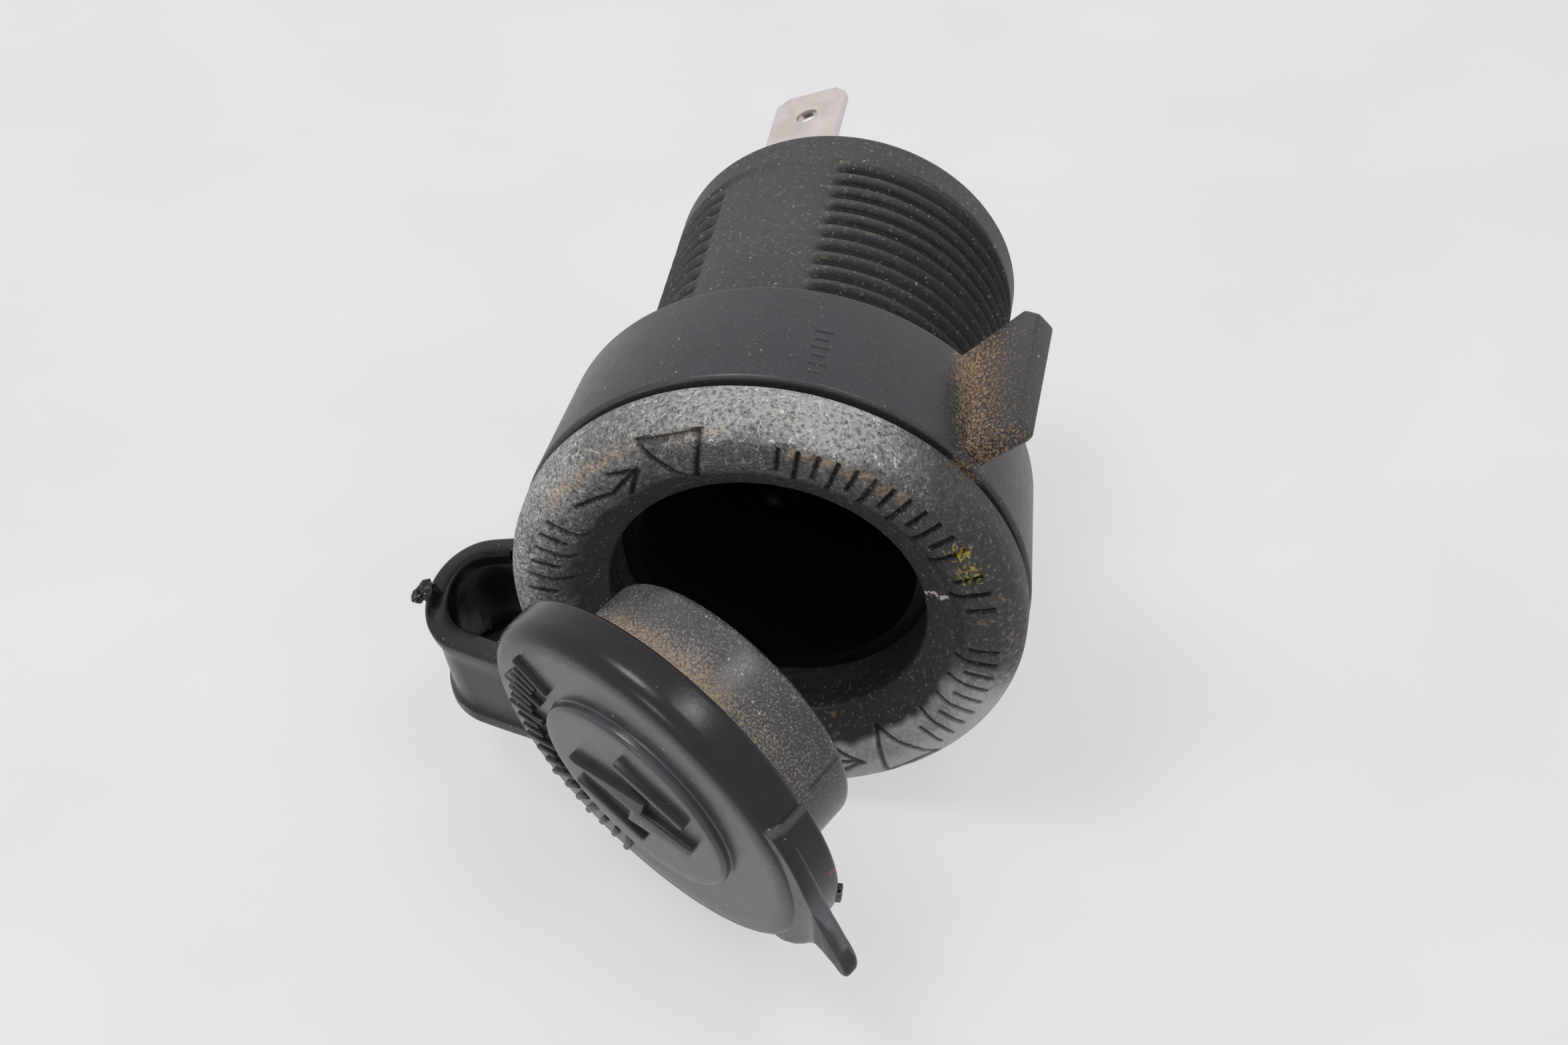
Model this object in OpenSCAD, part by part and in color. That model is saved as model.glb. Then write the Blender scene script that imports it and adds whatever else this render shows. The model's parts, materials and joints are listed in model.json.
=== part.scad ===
// 12 volt accessory socket for a panel, with a tethered rubber cap and a winged clamp nut.
// Millimetres. +Y runs along the barrel, away from the open face, and +Z is up.
// The origin is the centre of the sealing ring's back face, which is the panel's front face.
// Clock angles are read from the open side: 0 points to +X and 90 to +Z.

/* [Flange] */
// Diameter of the flange
flange_d = 38; // [36:0.5:42]
// Thickness of the flange
flange_t = 4.6; // [4:0.1:6]
// Radius of the rounded front rim
rim_round = 2.6; // [1.5:0.1:3]
// Radius of the rounded back rim
back_round = 0.9; // [0.3:0.1:1.2]
// Diameter where the dished face starts
dish_d = 30.4; // [28:0.2:31.5]
// Depth of the dish at the mouth
dish_depth = 2; // [1:0.1:2.6]
// Diameter of the open mouth
mouth_d = 23.4; // [23.2:0.1:24]

/* [Barrel] */
// Diameter over the thread crests
barrel_d = 28.5; // [28:0.1:29]
// Length of the barrel behind the flange
barrel_len = 36.6; // [34:0.2:42]
// Pitch of the thread
thread_pitch = 1.7; // [1.4:0.1:2.2]
// Depth of the thread
thread_depth = 0.7; // [0.4:0.05:0.8]
// Length of the plain collar at the rear end
collar_len = 3; // [2:0.2:5]
// Length of the plain neck behind the flange
neck_len = 1.5; // [1:0.1:3]
// Distance across the two flats
flats_across = 27; // [26.6:0.1:27.6]
// Clock angle of the upper flat, in line with the outer tab
flat_clock = 112.5; // [90:0.5:135]

/* [Inside] */
// Diameter of the bore that takes the plug
bore_d = 21; // [20.9:0.05:21.2]
// Wall of the metal shell
shell_wall = 0.6; // [0.4:0.05:0.7]
// Depth of the shell's front lip below the flange face
shell_depth = 6.5; // [6.4:0.1:7.5]
// Length of the true bore, before the shell widens a little for the spring
bore_len = 15; // [10:0.5:15.5]
// Thickness of the rear wall of the body
rear_wall = 2.5; // [2:0.1:3.5]
// Depth of the recess in the rear end
rear_recess = 2; // [1:0.1:3]
// Diameter of the insulating disc under the centre contact
insulator_d = 12; // [10:0.2:12.4]
// Thickness of the insulating disc
insulator_t = 1.4; // [1:0.1:2.5]
// Diameter of the centre contact's head
contact_d = 8.4; // [7:0.2:9]
// Height of the centre contact's head
contact_t = 1.8; // [1.2:0.1:2.6]
// Diameter of the stud
stud_d = 4; // [3:0.5:4]

/* [Tabs] */
// Width of the spade tabs
tab_w = 6.35; // [4.8:0.05:6.4]
// Thickness of the spade tabs
tab_t = 0.8; // [0.5:0.05:0.9]
// Length of the tabs behind the barrel
tab_out = 10; // [8:0.5:12]
// Diameter of the hole in each tab
tab_hole_d = 1.8; // [1.4:0.1:2.2]
// Distance of that hole from the tip
tab_hole_back = 3.4; // [3:0.1:4]
// Distance of the outer tab's inner face from the axis
outer_tab_r = 11.2; // [11.2:0.1:11.4]
// Distance of the inner tab's inner face from the axis
inner_tab_r = 6.4; // [6:0.1:7.5]

/* [Nut] */
// Diameter of the nut at its front
nut_d = 38.6; // [37:0.2:41]
// Diameter of the nut at its rear
nut_rear_d = 37; // [35:0.2:38]
// Length of the nut
nut_len = 11; // [9:0.5:14]
// Clock angle of the upper wing
wing_clock = 42; // [30:1:55]
// Distance of the wing's tip from the axis
wing_r = 24.8; // [22:0.2:27]
// Thickness of the wings
wing_t = 3; // [2:0.1:4]
// Distance by which the wings stand behind the nut
wing_over = 2.9; // [1:0.1:4]
// Distance from the nut's front to the wings
wing_set = 1; // [0.6:0.1:3]

/* [Strap] */
// Clock angle of the strap where it leaves the ring
strap_clock = 194; // [190:1:200]
// Thickness of the ring under the flange and of the strap
strap_t = 1.1; // [0.8:0.05:1.4]
// Width of the strap
strap_w = 8.8; // [7:0.2:10]
// Outer diameter of the ring
ring_d = 35.4; // [33:0.2:36]
// Radius of the bend, at the middle of the strap
bend_r = 4.6; // [4:0.1:5]
// Thickness of the bead along each edge
bead_t = 1.9; // [1.4:0.1:2.2]
// Width of the bead
bead_w = 1.2; // [0.8:0.1:1.6]

/* [Cap] */
// Clock angle at which the cap hangs, a little round from the strap's root
cap_clock = 200; // [194:1:204]
// Diameter of the cap's disc
cap_d = 29; // [28:0.2:31]
// Thickness of the disc
cap_t = 3.5; // [3:0.1:4.2]
// Gap between the closed disc and the flange face
cap_seat = 0.25; // [0.2:0.05:0.5]
// Diameter of the plug on the cap
plug_d = 21.9; // [21:0.1:22]
// Length of the plug
plug_len = 6.1; // [4:0.1:6.2]
// Wall of the hollow plug
plug_wall = 2; // [1.4:0.1:2.6]
// Depth of the hollow in the plug
plug_hollow = 5; // [3:0.1:5.5]
// Diameter of the raised centre
boss_d = 16.7; // [14:0.1:18]
// Height of the raised centre
boss_t = 0.8; // [0.4:0.1:1.2]
// Angle by which the cap hangs open
cap_open = 33.8; // [25:0.1:40]
// Distance of the bend's hinge line from the axis
hinge_r = 21.6; // [21:0.1:22.4]
// Distance of the hinge line in front of the flange's back face
hinge_front = 3.9; // [3.5:0.1:4.3]
// Angle of the pull tab round the cap from the hinge line's side
pull_angle = 157; // [140:1:180]
// Distance of the pull tab's tip from the cap's centre
pull_r = 19.6; // [18.6:0.2:23]
// Width of the pull tab's tongue
pull_w = 3.6; // [3:0.1:6]
// Thickness of the tongue
pull_t = 1.1; // [0.8:0.1:1.4]
// Angle by which the tongue leans forward
pull_lean = 22; // [0:1:30]
// Width of the thick root of the tab, as an angle round the cap
pull_root = 68; // [40:2:80]

/* [Hidden] */
$fn = 96;
cut = 0.5;

// Running and fitting clearances
thread_gap = 0.08;
fit_gap = 0.1;
slot_gap = 0.2;

// Flange and barrel
flange_r = flange_d / 2;
crest_r = barrel_d / 2;
root_r = crest_r - thread_depth;
thread_n = floor((barrel_len - collar_len - neck_len) / thread_pitch);
crest_share = 0.3;
flank_share = 0.18;
rear_chamfer = 0.5;

// Metal shell and the seats that hold it
bore_r = bore_d / 2;
shell_r = bore_r + shell_wall;
lip_r = mouth_d / 2 - fit_gap;
shell_front = shell_depth - flange_t;
floor_z = barrel_len - rear_recess - rear_wall;
relief = 0.2;
relief_z = shell_front + bore_len;
seat_r = shell_r + relief + fit_gap;
seat_len = 7;
spigot_r = 4.3;
lip_hole_r = spigot_r + slot_gap;
rear_floor_z = barrel_len - rear_recess;
recess_r = outer_tab_r;

// Spring that grips the plug through windows in the shell
spring_t = 0.3;
spring_w = 4;
spring_play = 0.02;
spring_room = 0.08;
spring_set = 18;
spring_r = shell_r + relief + spring_play;
spring_z = shell_front + spring_set;
hollow_r = spring_r + spring_t + spring_room;
spring_split = 40;
window_r = 1.9;
dimple_r = 1.7;
dimple_in = 0.45;
dimple_clocks = [flat_clock - 60, flat_clock + 60, flat_clock + 180 - 40];

// Outer tab, its foot and its rivet
foot_in = 5.6;
rivet_at = (insulator_d / 2 + outer_tab_r) / 2;
rivet_r = 1;
rivet_head_r = 1.8;
rivet_head_t = 0.5;
tab_end = barrel_len + tab_out;
tab_chamfer = 1;

// Stud, washers and nut behind the rear wall
stud_r = stud_d / 2;
washer_r = 4.2;
washer_t = 0.8;
lock_r = 3.7;
lock_gap = 1.2;
hex_across = 7;
hex_t = 3.2;
stack_z = rear_floor_z + tab_t;
nut_stack_z = stack_z + 2 * washer_t;
stud_end = nut_stack_z + hex_t + 1.2;
inner_clock = flat_clock + 180;

// Clamp nut
nut_front = strap_t + fit_gap;
nut_r = crest_r + thread_gap;
nut_edge = 0.4;
wing_in = crest_r + 1;
wing_rear_chamfer = 2.5;
wing_front_chamfer = 0.8;

// Cap in its closed place: front face, shoulder and the bend's hinge line
cap_r = cap_d / 2;
cap_back = -flange_t - cap_seat;
cap_front = cap_back - cap_t;
plug_r = plug_d / 2;
hinge_z = -hinge_front;
rim_edge = 1.4;
boss_edge = 0.3;
root_proud = 0.4;
root_edge = 1.1;
root_set = 0.3;
root_in = 3;

// Bend of the strap: its centre, and the point of the cap's rim that it runs to
root_gap = 0.4;
root_leg = max(flange_r, ring_d / 2) + root_gap;
bend_x = root_leg + root_gap;
bend_z = strap_t / 2 - bend_r;
attach_t = 1.65;
strap_past = 2;
attach = swing([cap_r, cap_front + attach_t]);
to_attach = attach - [bend_x, bend_z];
attach_far = norm(to_attach);
leave_angle = atan2(to_attach[1], to_attach[0]) + acos(bend_r / attach_far);
leg_len = sqrt(attach_far * attach_far - bend_r * bend_r);

// A point of the closed cap, in radius and depth, moved to where the cap hangs open
function swing(p) = [
  hinge_r + (p[0] - hinge_r) * cos(cap_open) - (p[1] - hinge_z) * sin(cap_open),
  hinge_z + (p[0] - hinge_r) * sin(cap_open) + (p[1] - hinge_z) * cos(cap_open)
];

// Points of a quarter round about a centre, from one angle to another
function round_corner(centre, r, from, to) =
  [for (i = [0:8]) let (a = from + (to - from) * i / 8) centre + r * [cos(a), sin(a)]];

// Crest, flank and root of one turn of the thread, as radius and depth
function thread_turn(z) = [
  [crest_r, z],
  [crest_r, z + thread_pitch * crest_share / 2],
  [root_r, z + thread_pitch * (crest_share / 2 + flank_share)],
  [root_r, z + thread_pitch * (1 - crest_share / 2 - flank_share)],
  [crest_r, z + thread_pitch * (1 - crest_share / 2)]
];

// The modules below work with the barrel along +Z and the flange's back face at zero
module along_barrel() {
  rotate([-90, 0, 0]) translate([0, 0, -strap_t]) children();
}

module at_clock(angle) {
  rotate([0, 0, -angle]) children();
}

module on_edge(width) {
  translate([0, width / 2, 0]) rotate([90, 0, 0]) linear_extrude(width) children();
}

module ring(outer, inner, z, height) {
  translate([0, 0, z]) difference() {
    cylinder(r = outer, h = height);
    translate([0, 0, -cut]) cylinder(r = inner, h = height + 2 * cut);
  }
}

module flange_solid() {
  rim_z = -flange_t;
  rotate_extrude() polygon(concat(
    [[0, rim_z + dish_depth], [mouth_d / 2 + 0.2, rim_z + dish_depth], [dish_d / 2, rim_z]],
    round_corner([flange_r - rim_round, rim_z + rim_round], rim_round, -90, 0),
    round_corner([flange_r - back_round, -back_round], back_round, 0, 90),
    [[0, 0]]
  ));
}

module barrel_solid() {
  turns = [for (i = [0:thread_n - 1]) each thread_turn(barrel_len - collar_len - (i + 1) * thread_pitch)];
  starts = [for (i = [0:thread_n - 1]) thread_n - 1 - i];
  intersection() {
    rotate_extrude() polygon(concat(
      [[0, -cut], [crest_r, -cut]],
      [for (i = starts) each [for (j = [0:4]) turns[i * 5 + j]]],
      [[crest_r, barrel_len - rear_chamfer], [crest_r - rear_chamfer, barrel_len], [0, barrel_len]]
    ));
    at_clock(flat_clock) translate([-flats_across / 2, -barrel_d, -1])
      cube([flats_across, 2 * barrel_d, barrel_len + 2]);
  }
}

module socket_body() {
  color("#3a3a3d") along_barrel() difference() {
    union() {
      flange_solid();
      barrel_solid();
    }
    translate([0, 0, -flange_t - cut]) cylinder(d = mouth_d, h = flange_t + cut + shell_front + shell_wall);
    translate([0, 0, -flange_t]) cylinder(r = hollow_r, h = flange_t + floor_z - seat_len);
    translate([0, 0, -flange_t]) cylinder(r = seat_r, h = flange_t + floor_z);
    translate([0, 0, floor_z - cut]) cylinder(r = stud_r + fit_gap, h = rear_wall + 2 * cut);
    translate([0, 0, rear_floor_z]) cylinder(r = recess_r, h = rear_recess + cut);
    at_clock(flat_clock) {
      translate([foot_in - slot_gap, -tab_w / 2 - slot_gap, floor_z - cut])
        cube([outer_tab_r - foot_in + slot_gap, tab_w + 2 * slot_gap, tab_t + cut]);
      translate([outer_tab_r - fit_gap, -tab_w / 2 - slot_gap, floor_z - cut])
        cube([tab_t + 2 * fit_gap, tab_w + 2 * slot_gap, barrel_len - floor_z + 2 * cut]);
      translate([rivet_at, 0, floor_z]) cylinder(r = rivet_head_r + slot_gap, h = tab_t + rivet_head_t + fit_gap);
    }
  }
}

module contact_shell() {
  color("#b9b4a8") along_barrel() difference() {
    union() {
      ring(lip_r, bore_r, shell_front, shell_wall);
      ring(shell_r, bore_r, shell_front, bore_len);
      ring(shell_r + relief, bore_r + relief, relief_z, floor_z - relief_z);
      ring(shell_r + relief, lip_hole_r, floor_z - shell_wall, shell_wall);
    }
    at_clock(flat_clock) translate([rivet_at, 0, floor_z - shell_wall - cut])
      cylinder(r = rivet_r, h = shell_wall + 2 * cut);
    for (clock = dimple_clocks) at_clock(clock) translate([bore_r - 1, 0, spring_z])
      rotate([0, 90, 0]) cylinder(r = window_r, h = shell_wall + 2);
  }
}

module grip_spring() {
  gap_clock = flat_clock;
  color("#9a9da0") along_barrel() intersection() {
    union() {
      at_clock(gap_clock) difference() {
        ring(spring_r + spring_t, spring_r, spring_z - spring_w / 2, spring_w);
        translate([0, -spring_r * sin(spring_split / 2), spring_z - spring_w / 2 - cut])
          cube([2 * spring_r, 2 * spring_r * sin(spring_split / 2), spring_w + 2 * cut]);
      }
      for (clock = dimple_clocks) at_clock(clock)
        translate([bore_r - dimple_in + dimple_r, 0, spring_z]) sphere(r = dimple_r, $fn = 32);
    }
    translate([0, 0, spring_z - spring_w / 2]) cylinder(r = spring_r + spring_t, h = spring_w);
  }
}

module contact_insulator() {
  color("#5b3a24") along_barrel() difference() {
    union() {
      translate([0, 0, floor_z - shell_wall - insulator_t]) cylinder(d = insulator_d, h = insulator_t);
      translate([0, 0, floor_z - shell_wall - cut]) cylinder(r = spigot_r, h = shell_wall + cut);
    }
    translate([0, 0, floor_z - shell_wall - insulator_t - cut])
      cylinder(r = stud_r + fit_gap, h = shell_wall + insulator_t + 2 * cut);
  }
}

module centre_contact() {
  head_z = floor_z - shell_wall - insulator_t;
  head_edge = 0.6;
  color("#c9a45c") along_barrel() {
    rotate_extrude() polygon(concat(
      [[0, head_z - contact_t]],
      round_corner([contact_d / 2 - head_edge, head_z - contact_t + head_edge], head_edge, -90, 0),
      [[contact_d / 2, head_z], [stud_r, head_z], [stud_r, stud_end - 0.4], [stud_r - 0.4, stud_end], [0, stud_end]]
    ));
  }
}

// Flat blade of a spade tab that stands on a foot, with its holes
module tab_blade(inner_r, z) {
  difference() {
    translate([inner_r, 0, 0]) rotate([0, 90, 0]) linear_extrude(tab_t) polygon([
      [-z, -tab_w / 2], [-tab_end + tab_chamfer, -tab_w / 2], [-tab_end, -tab_w / 2 + tab_chamfer],
      [-tab_end, tab_w / 2 - tab_chamfer], [-tab_end + tab_chamfer, tab_w / 2], [-z, tab_w / 2]
    ]);
    translate([inner_r - cut, 0, tab_end - tab_hole_back]) rotate([0, 90, 0])
      cylinder(d = tab_hole_d, h = tab_t + 2 * cut);
  }
}

module outer_terminal() {
  color("#cdbfb4") along_barrel() at_clock(flat_clock) union() {
    tab_blade(outer_tab_r, floor_z);
    difference() {
      translate([foot_in, -tab_w / 2, floor_z]) cube([outer_tab_r - foot_in + tab_t / 2, tab_w, tab_t]);
      translate([rivet_at, 0, floor_z - cut]) cylinder(r = rivet_r, h = tab_t + 2 * cut);
    }
  }
}

module terminal_rivet() {
  color("#c9a45c") along_barrel() at_clock(flat_clock) translate([rivet_at, 0, 0]) {
    translate([0, 0, floor_z - shell_wall - rivet_head_t]) cylinder(r = rivet_head_r, h = rivet_head_t);
    translate([0, 0, floor_z - shell_wall - rivet_head_t / 2])
      cylinder(r = rivet_r, h = shell_wall + tab_t + rivet_head_t);
    translate([0, 0, floor_z + tab_t]) cylinder(r = rivet_head_r, h = rivet_head_t);
  }
}

module centre_terminal() {
  color("#cdbfb4") along_barrel() at_clock(inner_clock) union() {
    tab_blade(inner_tab_r, rear_floor_z);
    difference() {
      union() {
        translate([0, -tab_w / 2, rear_floor_z]) cube([inner_tab_r + tab_t / 2, tab_w, tab_t]);
        translate([0, 0, rear_floor_z]) cylinder(d = tab_w, h = tab_t);
      }
      translate([0, 0, rear_floor_z - cut]) cylinder(r = stud_r + fit_gap, h = tab_t + 2 * cut);
    }
  }
}

module stud_washer() {
  color("#c4c6c8") along_barrel() ring(washer_r, stud_r + fit_gap, stack_z, washer_t);
}

module stud_lock_washer() {
  color("#a7a9ab") along_barrel() at_clock(inner_clock + 90) difference() {
    ring(lock_r, stud_r + fit_gap, stack_z + washer_t, washer_t);
    translate([0, -lock_gap / 2, stack_z + washer_t - cut]) cube([2 * lock_r, lock_gap, washer_t + 2 * cut]);
  }
}

module stud_nut() {
  color("#c9a45c") along_barrel() at_clock(inner_clock + 30) difference() {
    translate([0, 0, nut_stack_z]) cylinder(d = hex_across / cos(30), h = hex_t, $fn = 6);
    translate([0, 0, nut_stack_z - cut]) cylinder(r = stud_r + thread_gap / 2, h = hex_t + 2 * cut);
  }
}

module wing() {
  rear = nut_front + nut_len + wing_over;
  front = nut_front + wing_set;
  inner = nut_rear_d / 2 - 1.5;
  on_edge(wing_t) polygon([
    [inner, front], [wing_r - wing_front_chamfer, front], [wing_r, front + wing_front_chamfer],
    [wing_r, rear - wing_rear_chamfer], [wing_r - wing_rear_chamfer * 0.6, rear],
    [wing_in, rear], [wing_in, nut_front + nut_len - 1], [inner, nut_front + nut_len - 1]
  ]);
}

module clamp_nut() {
  color("#434247") along_barrel() difference() {
    union() {
      translate([0, 0, nut_front]) rotate_extrude() polygon([
        [nut_r + 0.01, 0], [nut_d / 2 - nut_edge, 0], [nut_d / 2, nut_edge],
        [nut_rear_d / 2, nut_len - nut_edge], [nut_rear_d / 2 - nut_edge, nut_len], [nut_r + 0.01, nut_len]
      ]);
      for (turn = [0, 180]) at_clock(wing_clock + turn) wing();
    }
    translate([0, 0, nut_front - cut]) cylinder(r = nut_r, h = nut_len + wing_over + 2 * cut);
  }
}

module strap_ring() {
  color("#2f2f32") along_barrel() difference() {
    union() {
      cylinder(d = ring_d, h = strap_t);
      at_clock(strap_clock) translate([crest_r, -strap_w / 2, 0]) cube([root_leg - crest_r, strap_w, strap_t]);
    }
    translate([0, 0, -cut]) cylinder(r = crest_r + 0.35, h = strap_t + 2 * cut);
  }
}

// Side view of the strap at a given thickness, from the ring to just past the cap's rim
module strap_path(thick) {
  leave = [bend_x, bend_z] + bend_r * [cos(leave_angle), sin(leave_angle)];
  translate([root_leg, strap_t / 2 - thick / 2]) square([bend_x - root_leg, thick]);
  intersection() {
    translate([bend_x, bend_z]) difference() {
      circle(r = bend_r + thick / 2);
      circle(r = bend_r - thick / 2);
    }
    translate([bend_x, bend_z]) polygon([
      [0, 0], [0, 3 * bend_r], [3 * bend_r, 3 * bend_r], [3 * bend_r, -3 * bend_r],
      3 * bend_r * [cos(leave_angle), sin(leave_angle)]
    ]);
  }
  translate(leave) rotate(leave_angle - 90) translate([0, -thick / 2]) square([leg_len + strap_past, thick]);
}

module cap_strap() {
  color("#38383b") along_barrel() at_clock(strap_clock) difference() {
    union() {
      on_edge(strap_w) strap_path(strap_t);
      for (side = [-1, 1]) translate([0, side * (strap_w - bead_w) / 2, 0])
        on_edge(bead_w) strap_path(bead_t);
    }
    at_clock(cap_clock - strap_clock) hang_open() translate([0, 0, cap_front - strap_past])
      cylinder(r = cap_r, h = cap_t + 2 * strap_past);
  }
}

// Moves the closed cap, with the strap towards +X, to where it hangs in front of the mouth
module hang_open() {
  translate([hinge_r, 0, hinge_z]) rotate([0, -cap_open, 0]) translate([-hinge_r, 0, -hinge_z]) children();
}

// Half outline of the cap, as radius and distance behind the face of its disc
module cap_outline() {
  boss_r = boss_d / 2;
  polygon(concat(
    [[0, -boss_t], [boss_r - boss_edge, -boss_t], [boss_r, boss_edge - boss_t], [boss_r, 0]],
    round_corner([cap_r - rim_edge, rim_edge], rim_edge, -90, 0),
    [[cap_r, cap_t - 0.4], [cap_r - 0.4, cap_t], [plug_r, cap_t]],
    [[plug_r, cap_t + plug_len - 0.6], [plug_r - 0.6, cap_t + plug_len]],
    [[plug_r - plug_wall, cap_t + plug_len], [plug_r - plug_wall, cap_t + plug_len - plug_hollow]],
    [[0, cap_t + plug_len - plug_hollow]]
  ));
}

// Thick root of the pull tab, a little proud of the rim, about +X
module pull_root_block() {
  outer = cap_r + root_proud;
  rotate([0, 0, -pull_root / 2]) rotate_extrude(angle = pull_root) polygon(concat(
    [[cap_r - root_in, root_set]],
    round_corner([outer - root_edge, root_set + root_edge], root_edge, -90, 0),
    [[outer, cap_t], [cap_r - root_in, cap_t]]
  ));
}

// Tongue of the pull tab, out along +X, with its round tip leaning forward
module pull_tongue() {
  lean_x = cap_r;
  lean_z = root_set + root_edge;
  tip_half = pull_w / 2 - 0.5;
  far = (pull_r - lean_x) / cos(pull_lean) - tip_half;
  translate([lean_x, 0, lean_z]) rotate([0, pull_lean, 0]) translate([0, 0, -pull_t / 2])
    linear_extrude(pull_t) {
      polygon([
        [-2, -pull_w / 2 - 0.8], [0.8, -pull_w / 2 - 0.4], [2, -pull_w / 2 + 0.2], [far, -tip_half],
        [far, tip_half], [2, pull_w / 2 - 0.2], [0.8, pull_w / 2 + 0.4], [-2, pull_w / 2 + 0.8]
      ]);
      translate([far, 0]) circle(r = tip_half);
    }
}

module cap() {
  color("#4a4a4e") along_barrel() at_clock(cap_clock) hang_open() translate([0, 0, cap_front]) {
    rotate_extrude() cap_outline();
    at_clock(pull_angle) {
      pull_root_block();
      pull_tongue();
    }
  }
}

socket_body();
contact_shell();
grip_spring();
contact_insulator();
centre_contact();
outer_terminal();
terminal_rivet();
centre_terminal();
stud_washer();
stud_lock_washer();
stud_nut();
clamp_nut();
strap_ring();
cap_strap();
cap();
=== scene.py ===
"""Looks of a 12 volt panel socket with a winged clamp nut and a tethered rubber cap.

Every piece is modelled round the packed frame, in metres: +Y runs along the barrel away from
the open face and +Z is up. Clock angles are read from the open side, 0 at +X and 90 at +Z.
"""

import json
import math

import bmesh
import bpy
from bpy.props import FloatProperty, FloatVectorProperty, PointerProperty
from mathutils import Matrix, Vector, noise


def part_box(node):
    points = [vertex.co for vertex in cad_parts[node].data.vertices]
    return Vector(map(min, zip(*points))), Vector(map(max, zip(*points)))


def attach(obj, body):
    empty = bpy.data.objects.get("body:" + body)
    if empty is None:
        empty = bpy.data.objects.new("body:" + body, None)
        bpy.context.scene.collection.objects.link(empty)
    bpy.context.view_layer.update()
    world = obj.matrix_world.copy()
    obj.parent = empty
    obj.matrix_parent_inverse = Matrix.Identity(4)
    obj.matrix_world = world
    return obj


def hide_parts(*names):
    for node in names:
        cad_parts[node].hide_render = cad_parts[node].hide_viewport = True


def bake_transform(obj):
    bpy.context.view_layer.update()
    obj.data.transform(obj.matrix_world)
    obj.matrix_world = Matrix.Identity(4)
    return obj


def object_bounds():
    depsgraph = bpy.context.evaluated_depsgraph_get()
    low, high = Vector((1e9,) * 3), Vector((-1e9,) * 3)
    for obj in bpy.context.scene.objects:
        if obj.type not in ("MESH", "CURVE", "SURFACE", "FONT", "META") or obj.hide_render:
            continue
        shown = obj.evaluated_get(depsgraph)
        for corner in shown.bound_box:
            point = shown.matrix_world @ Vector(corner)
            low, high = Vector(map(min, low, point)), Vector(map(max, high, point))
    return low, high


bl_info = {
    "name": "Panel socket",
    "version": (1, 0, 0),
    "blender": (4, 5, 0),
    "location": "View3D > Sidebar > Socket",
    "description": "Models the moulded, rubber and metal pieces of a 12 volt panel socket",
    "category": "Object",
}

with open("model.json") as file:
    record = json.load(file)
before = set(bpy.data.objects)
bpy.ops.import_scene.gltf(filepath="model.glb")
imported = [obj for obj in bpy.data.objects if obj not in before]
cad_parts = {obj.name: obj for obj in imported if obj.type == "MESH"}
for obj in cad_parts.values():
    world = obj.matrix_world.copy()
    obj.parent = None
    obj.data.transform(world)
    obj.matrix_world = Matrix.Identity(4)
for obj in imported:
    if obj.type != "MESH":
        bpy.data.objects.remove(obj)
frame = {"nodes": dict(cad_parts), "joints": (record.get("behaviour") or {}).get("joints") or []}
CAD_BOX = [list(corner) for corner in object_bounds()]
MM = 0.001
WELD = 1e-7
# How finely the moulding is turned: the face for its engraving, the barrel for its thread
FACE_STEPS = 640
BARREL_STEPS = 180
ROWS_PER_TURN = 11

# Places that the pieces share, from the frame
BODY_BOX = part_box("socket_body")
NUT_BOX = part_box("clamp_nut")
RING_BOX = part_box("strap_ring")
FRONT = BODY_BOX[0].y
BACK = RING_BOX[0].y
REAR = BODY_BOX[1].y
FLOOR_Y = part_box("contact_shell")[1].y
RECESS_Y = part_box("centre_terminal")[0].y
SWING = next(joint for joint in frame["joints"] if joint["name"] == "cap_swing")
HINGE = Vector(SWING["pos_m"])
CLOSED_TO_OPEN = Matrix.Rotation(math.radians(-SWING["range_deg"][0]), 4, Vector(SWING["axis"]))
HANG = Matrix.Translation(HINGE) @ CLOSED_TO_OPEN @ Matrix.Translation(-HINGE)
CAP_CLOCK = math.degrees(math.atan2(HINGE.z, HINGE.x)) % 360
TAB_CLOCK = 112.5
# Half the angle of the pocket behind the outer tab
POCKET = 17


def linear(hex_colour):
    """Linear red, green and blue of an sRGB hex colour"""
    parts = [int(hex_colour[i:i + 2], 16) / 255 for i in (1, 3, 5)]
    return tuple(c / 12.92 if c <= 0.04045 else ((c + 0.055) / 1.055) ** 2.4 for c in parts)


def length(name, description, millimetres):
    """A size that a user may change, kept in metres"""
    return FloatProperty(
        name=name, description=description, default=millimetres * MM, min=0, unit="LENGTH", precision=5)


def angle(name, description, degrees):
    """An angle that a user may change, kept in radians"""
    return FloatProperty(
        name=name, description=description, default=math.radians(degrees), subtype="ANGLE")


def power(name, description, watts):
    """A lamp's power that a user may change"""
    return FloatProperty(name=name, description=description, default=watts, min=0, unit="POWER")


def colour(name, description, hex_colour):
    """A colour that a user may change"""
    return FloatVectorProperty(
        name=name, description=description, default=linear(hex_colour), min=0, max=1, subtype="COLOR")


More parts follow.
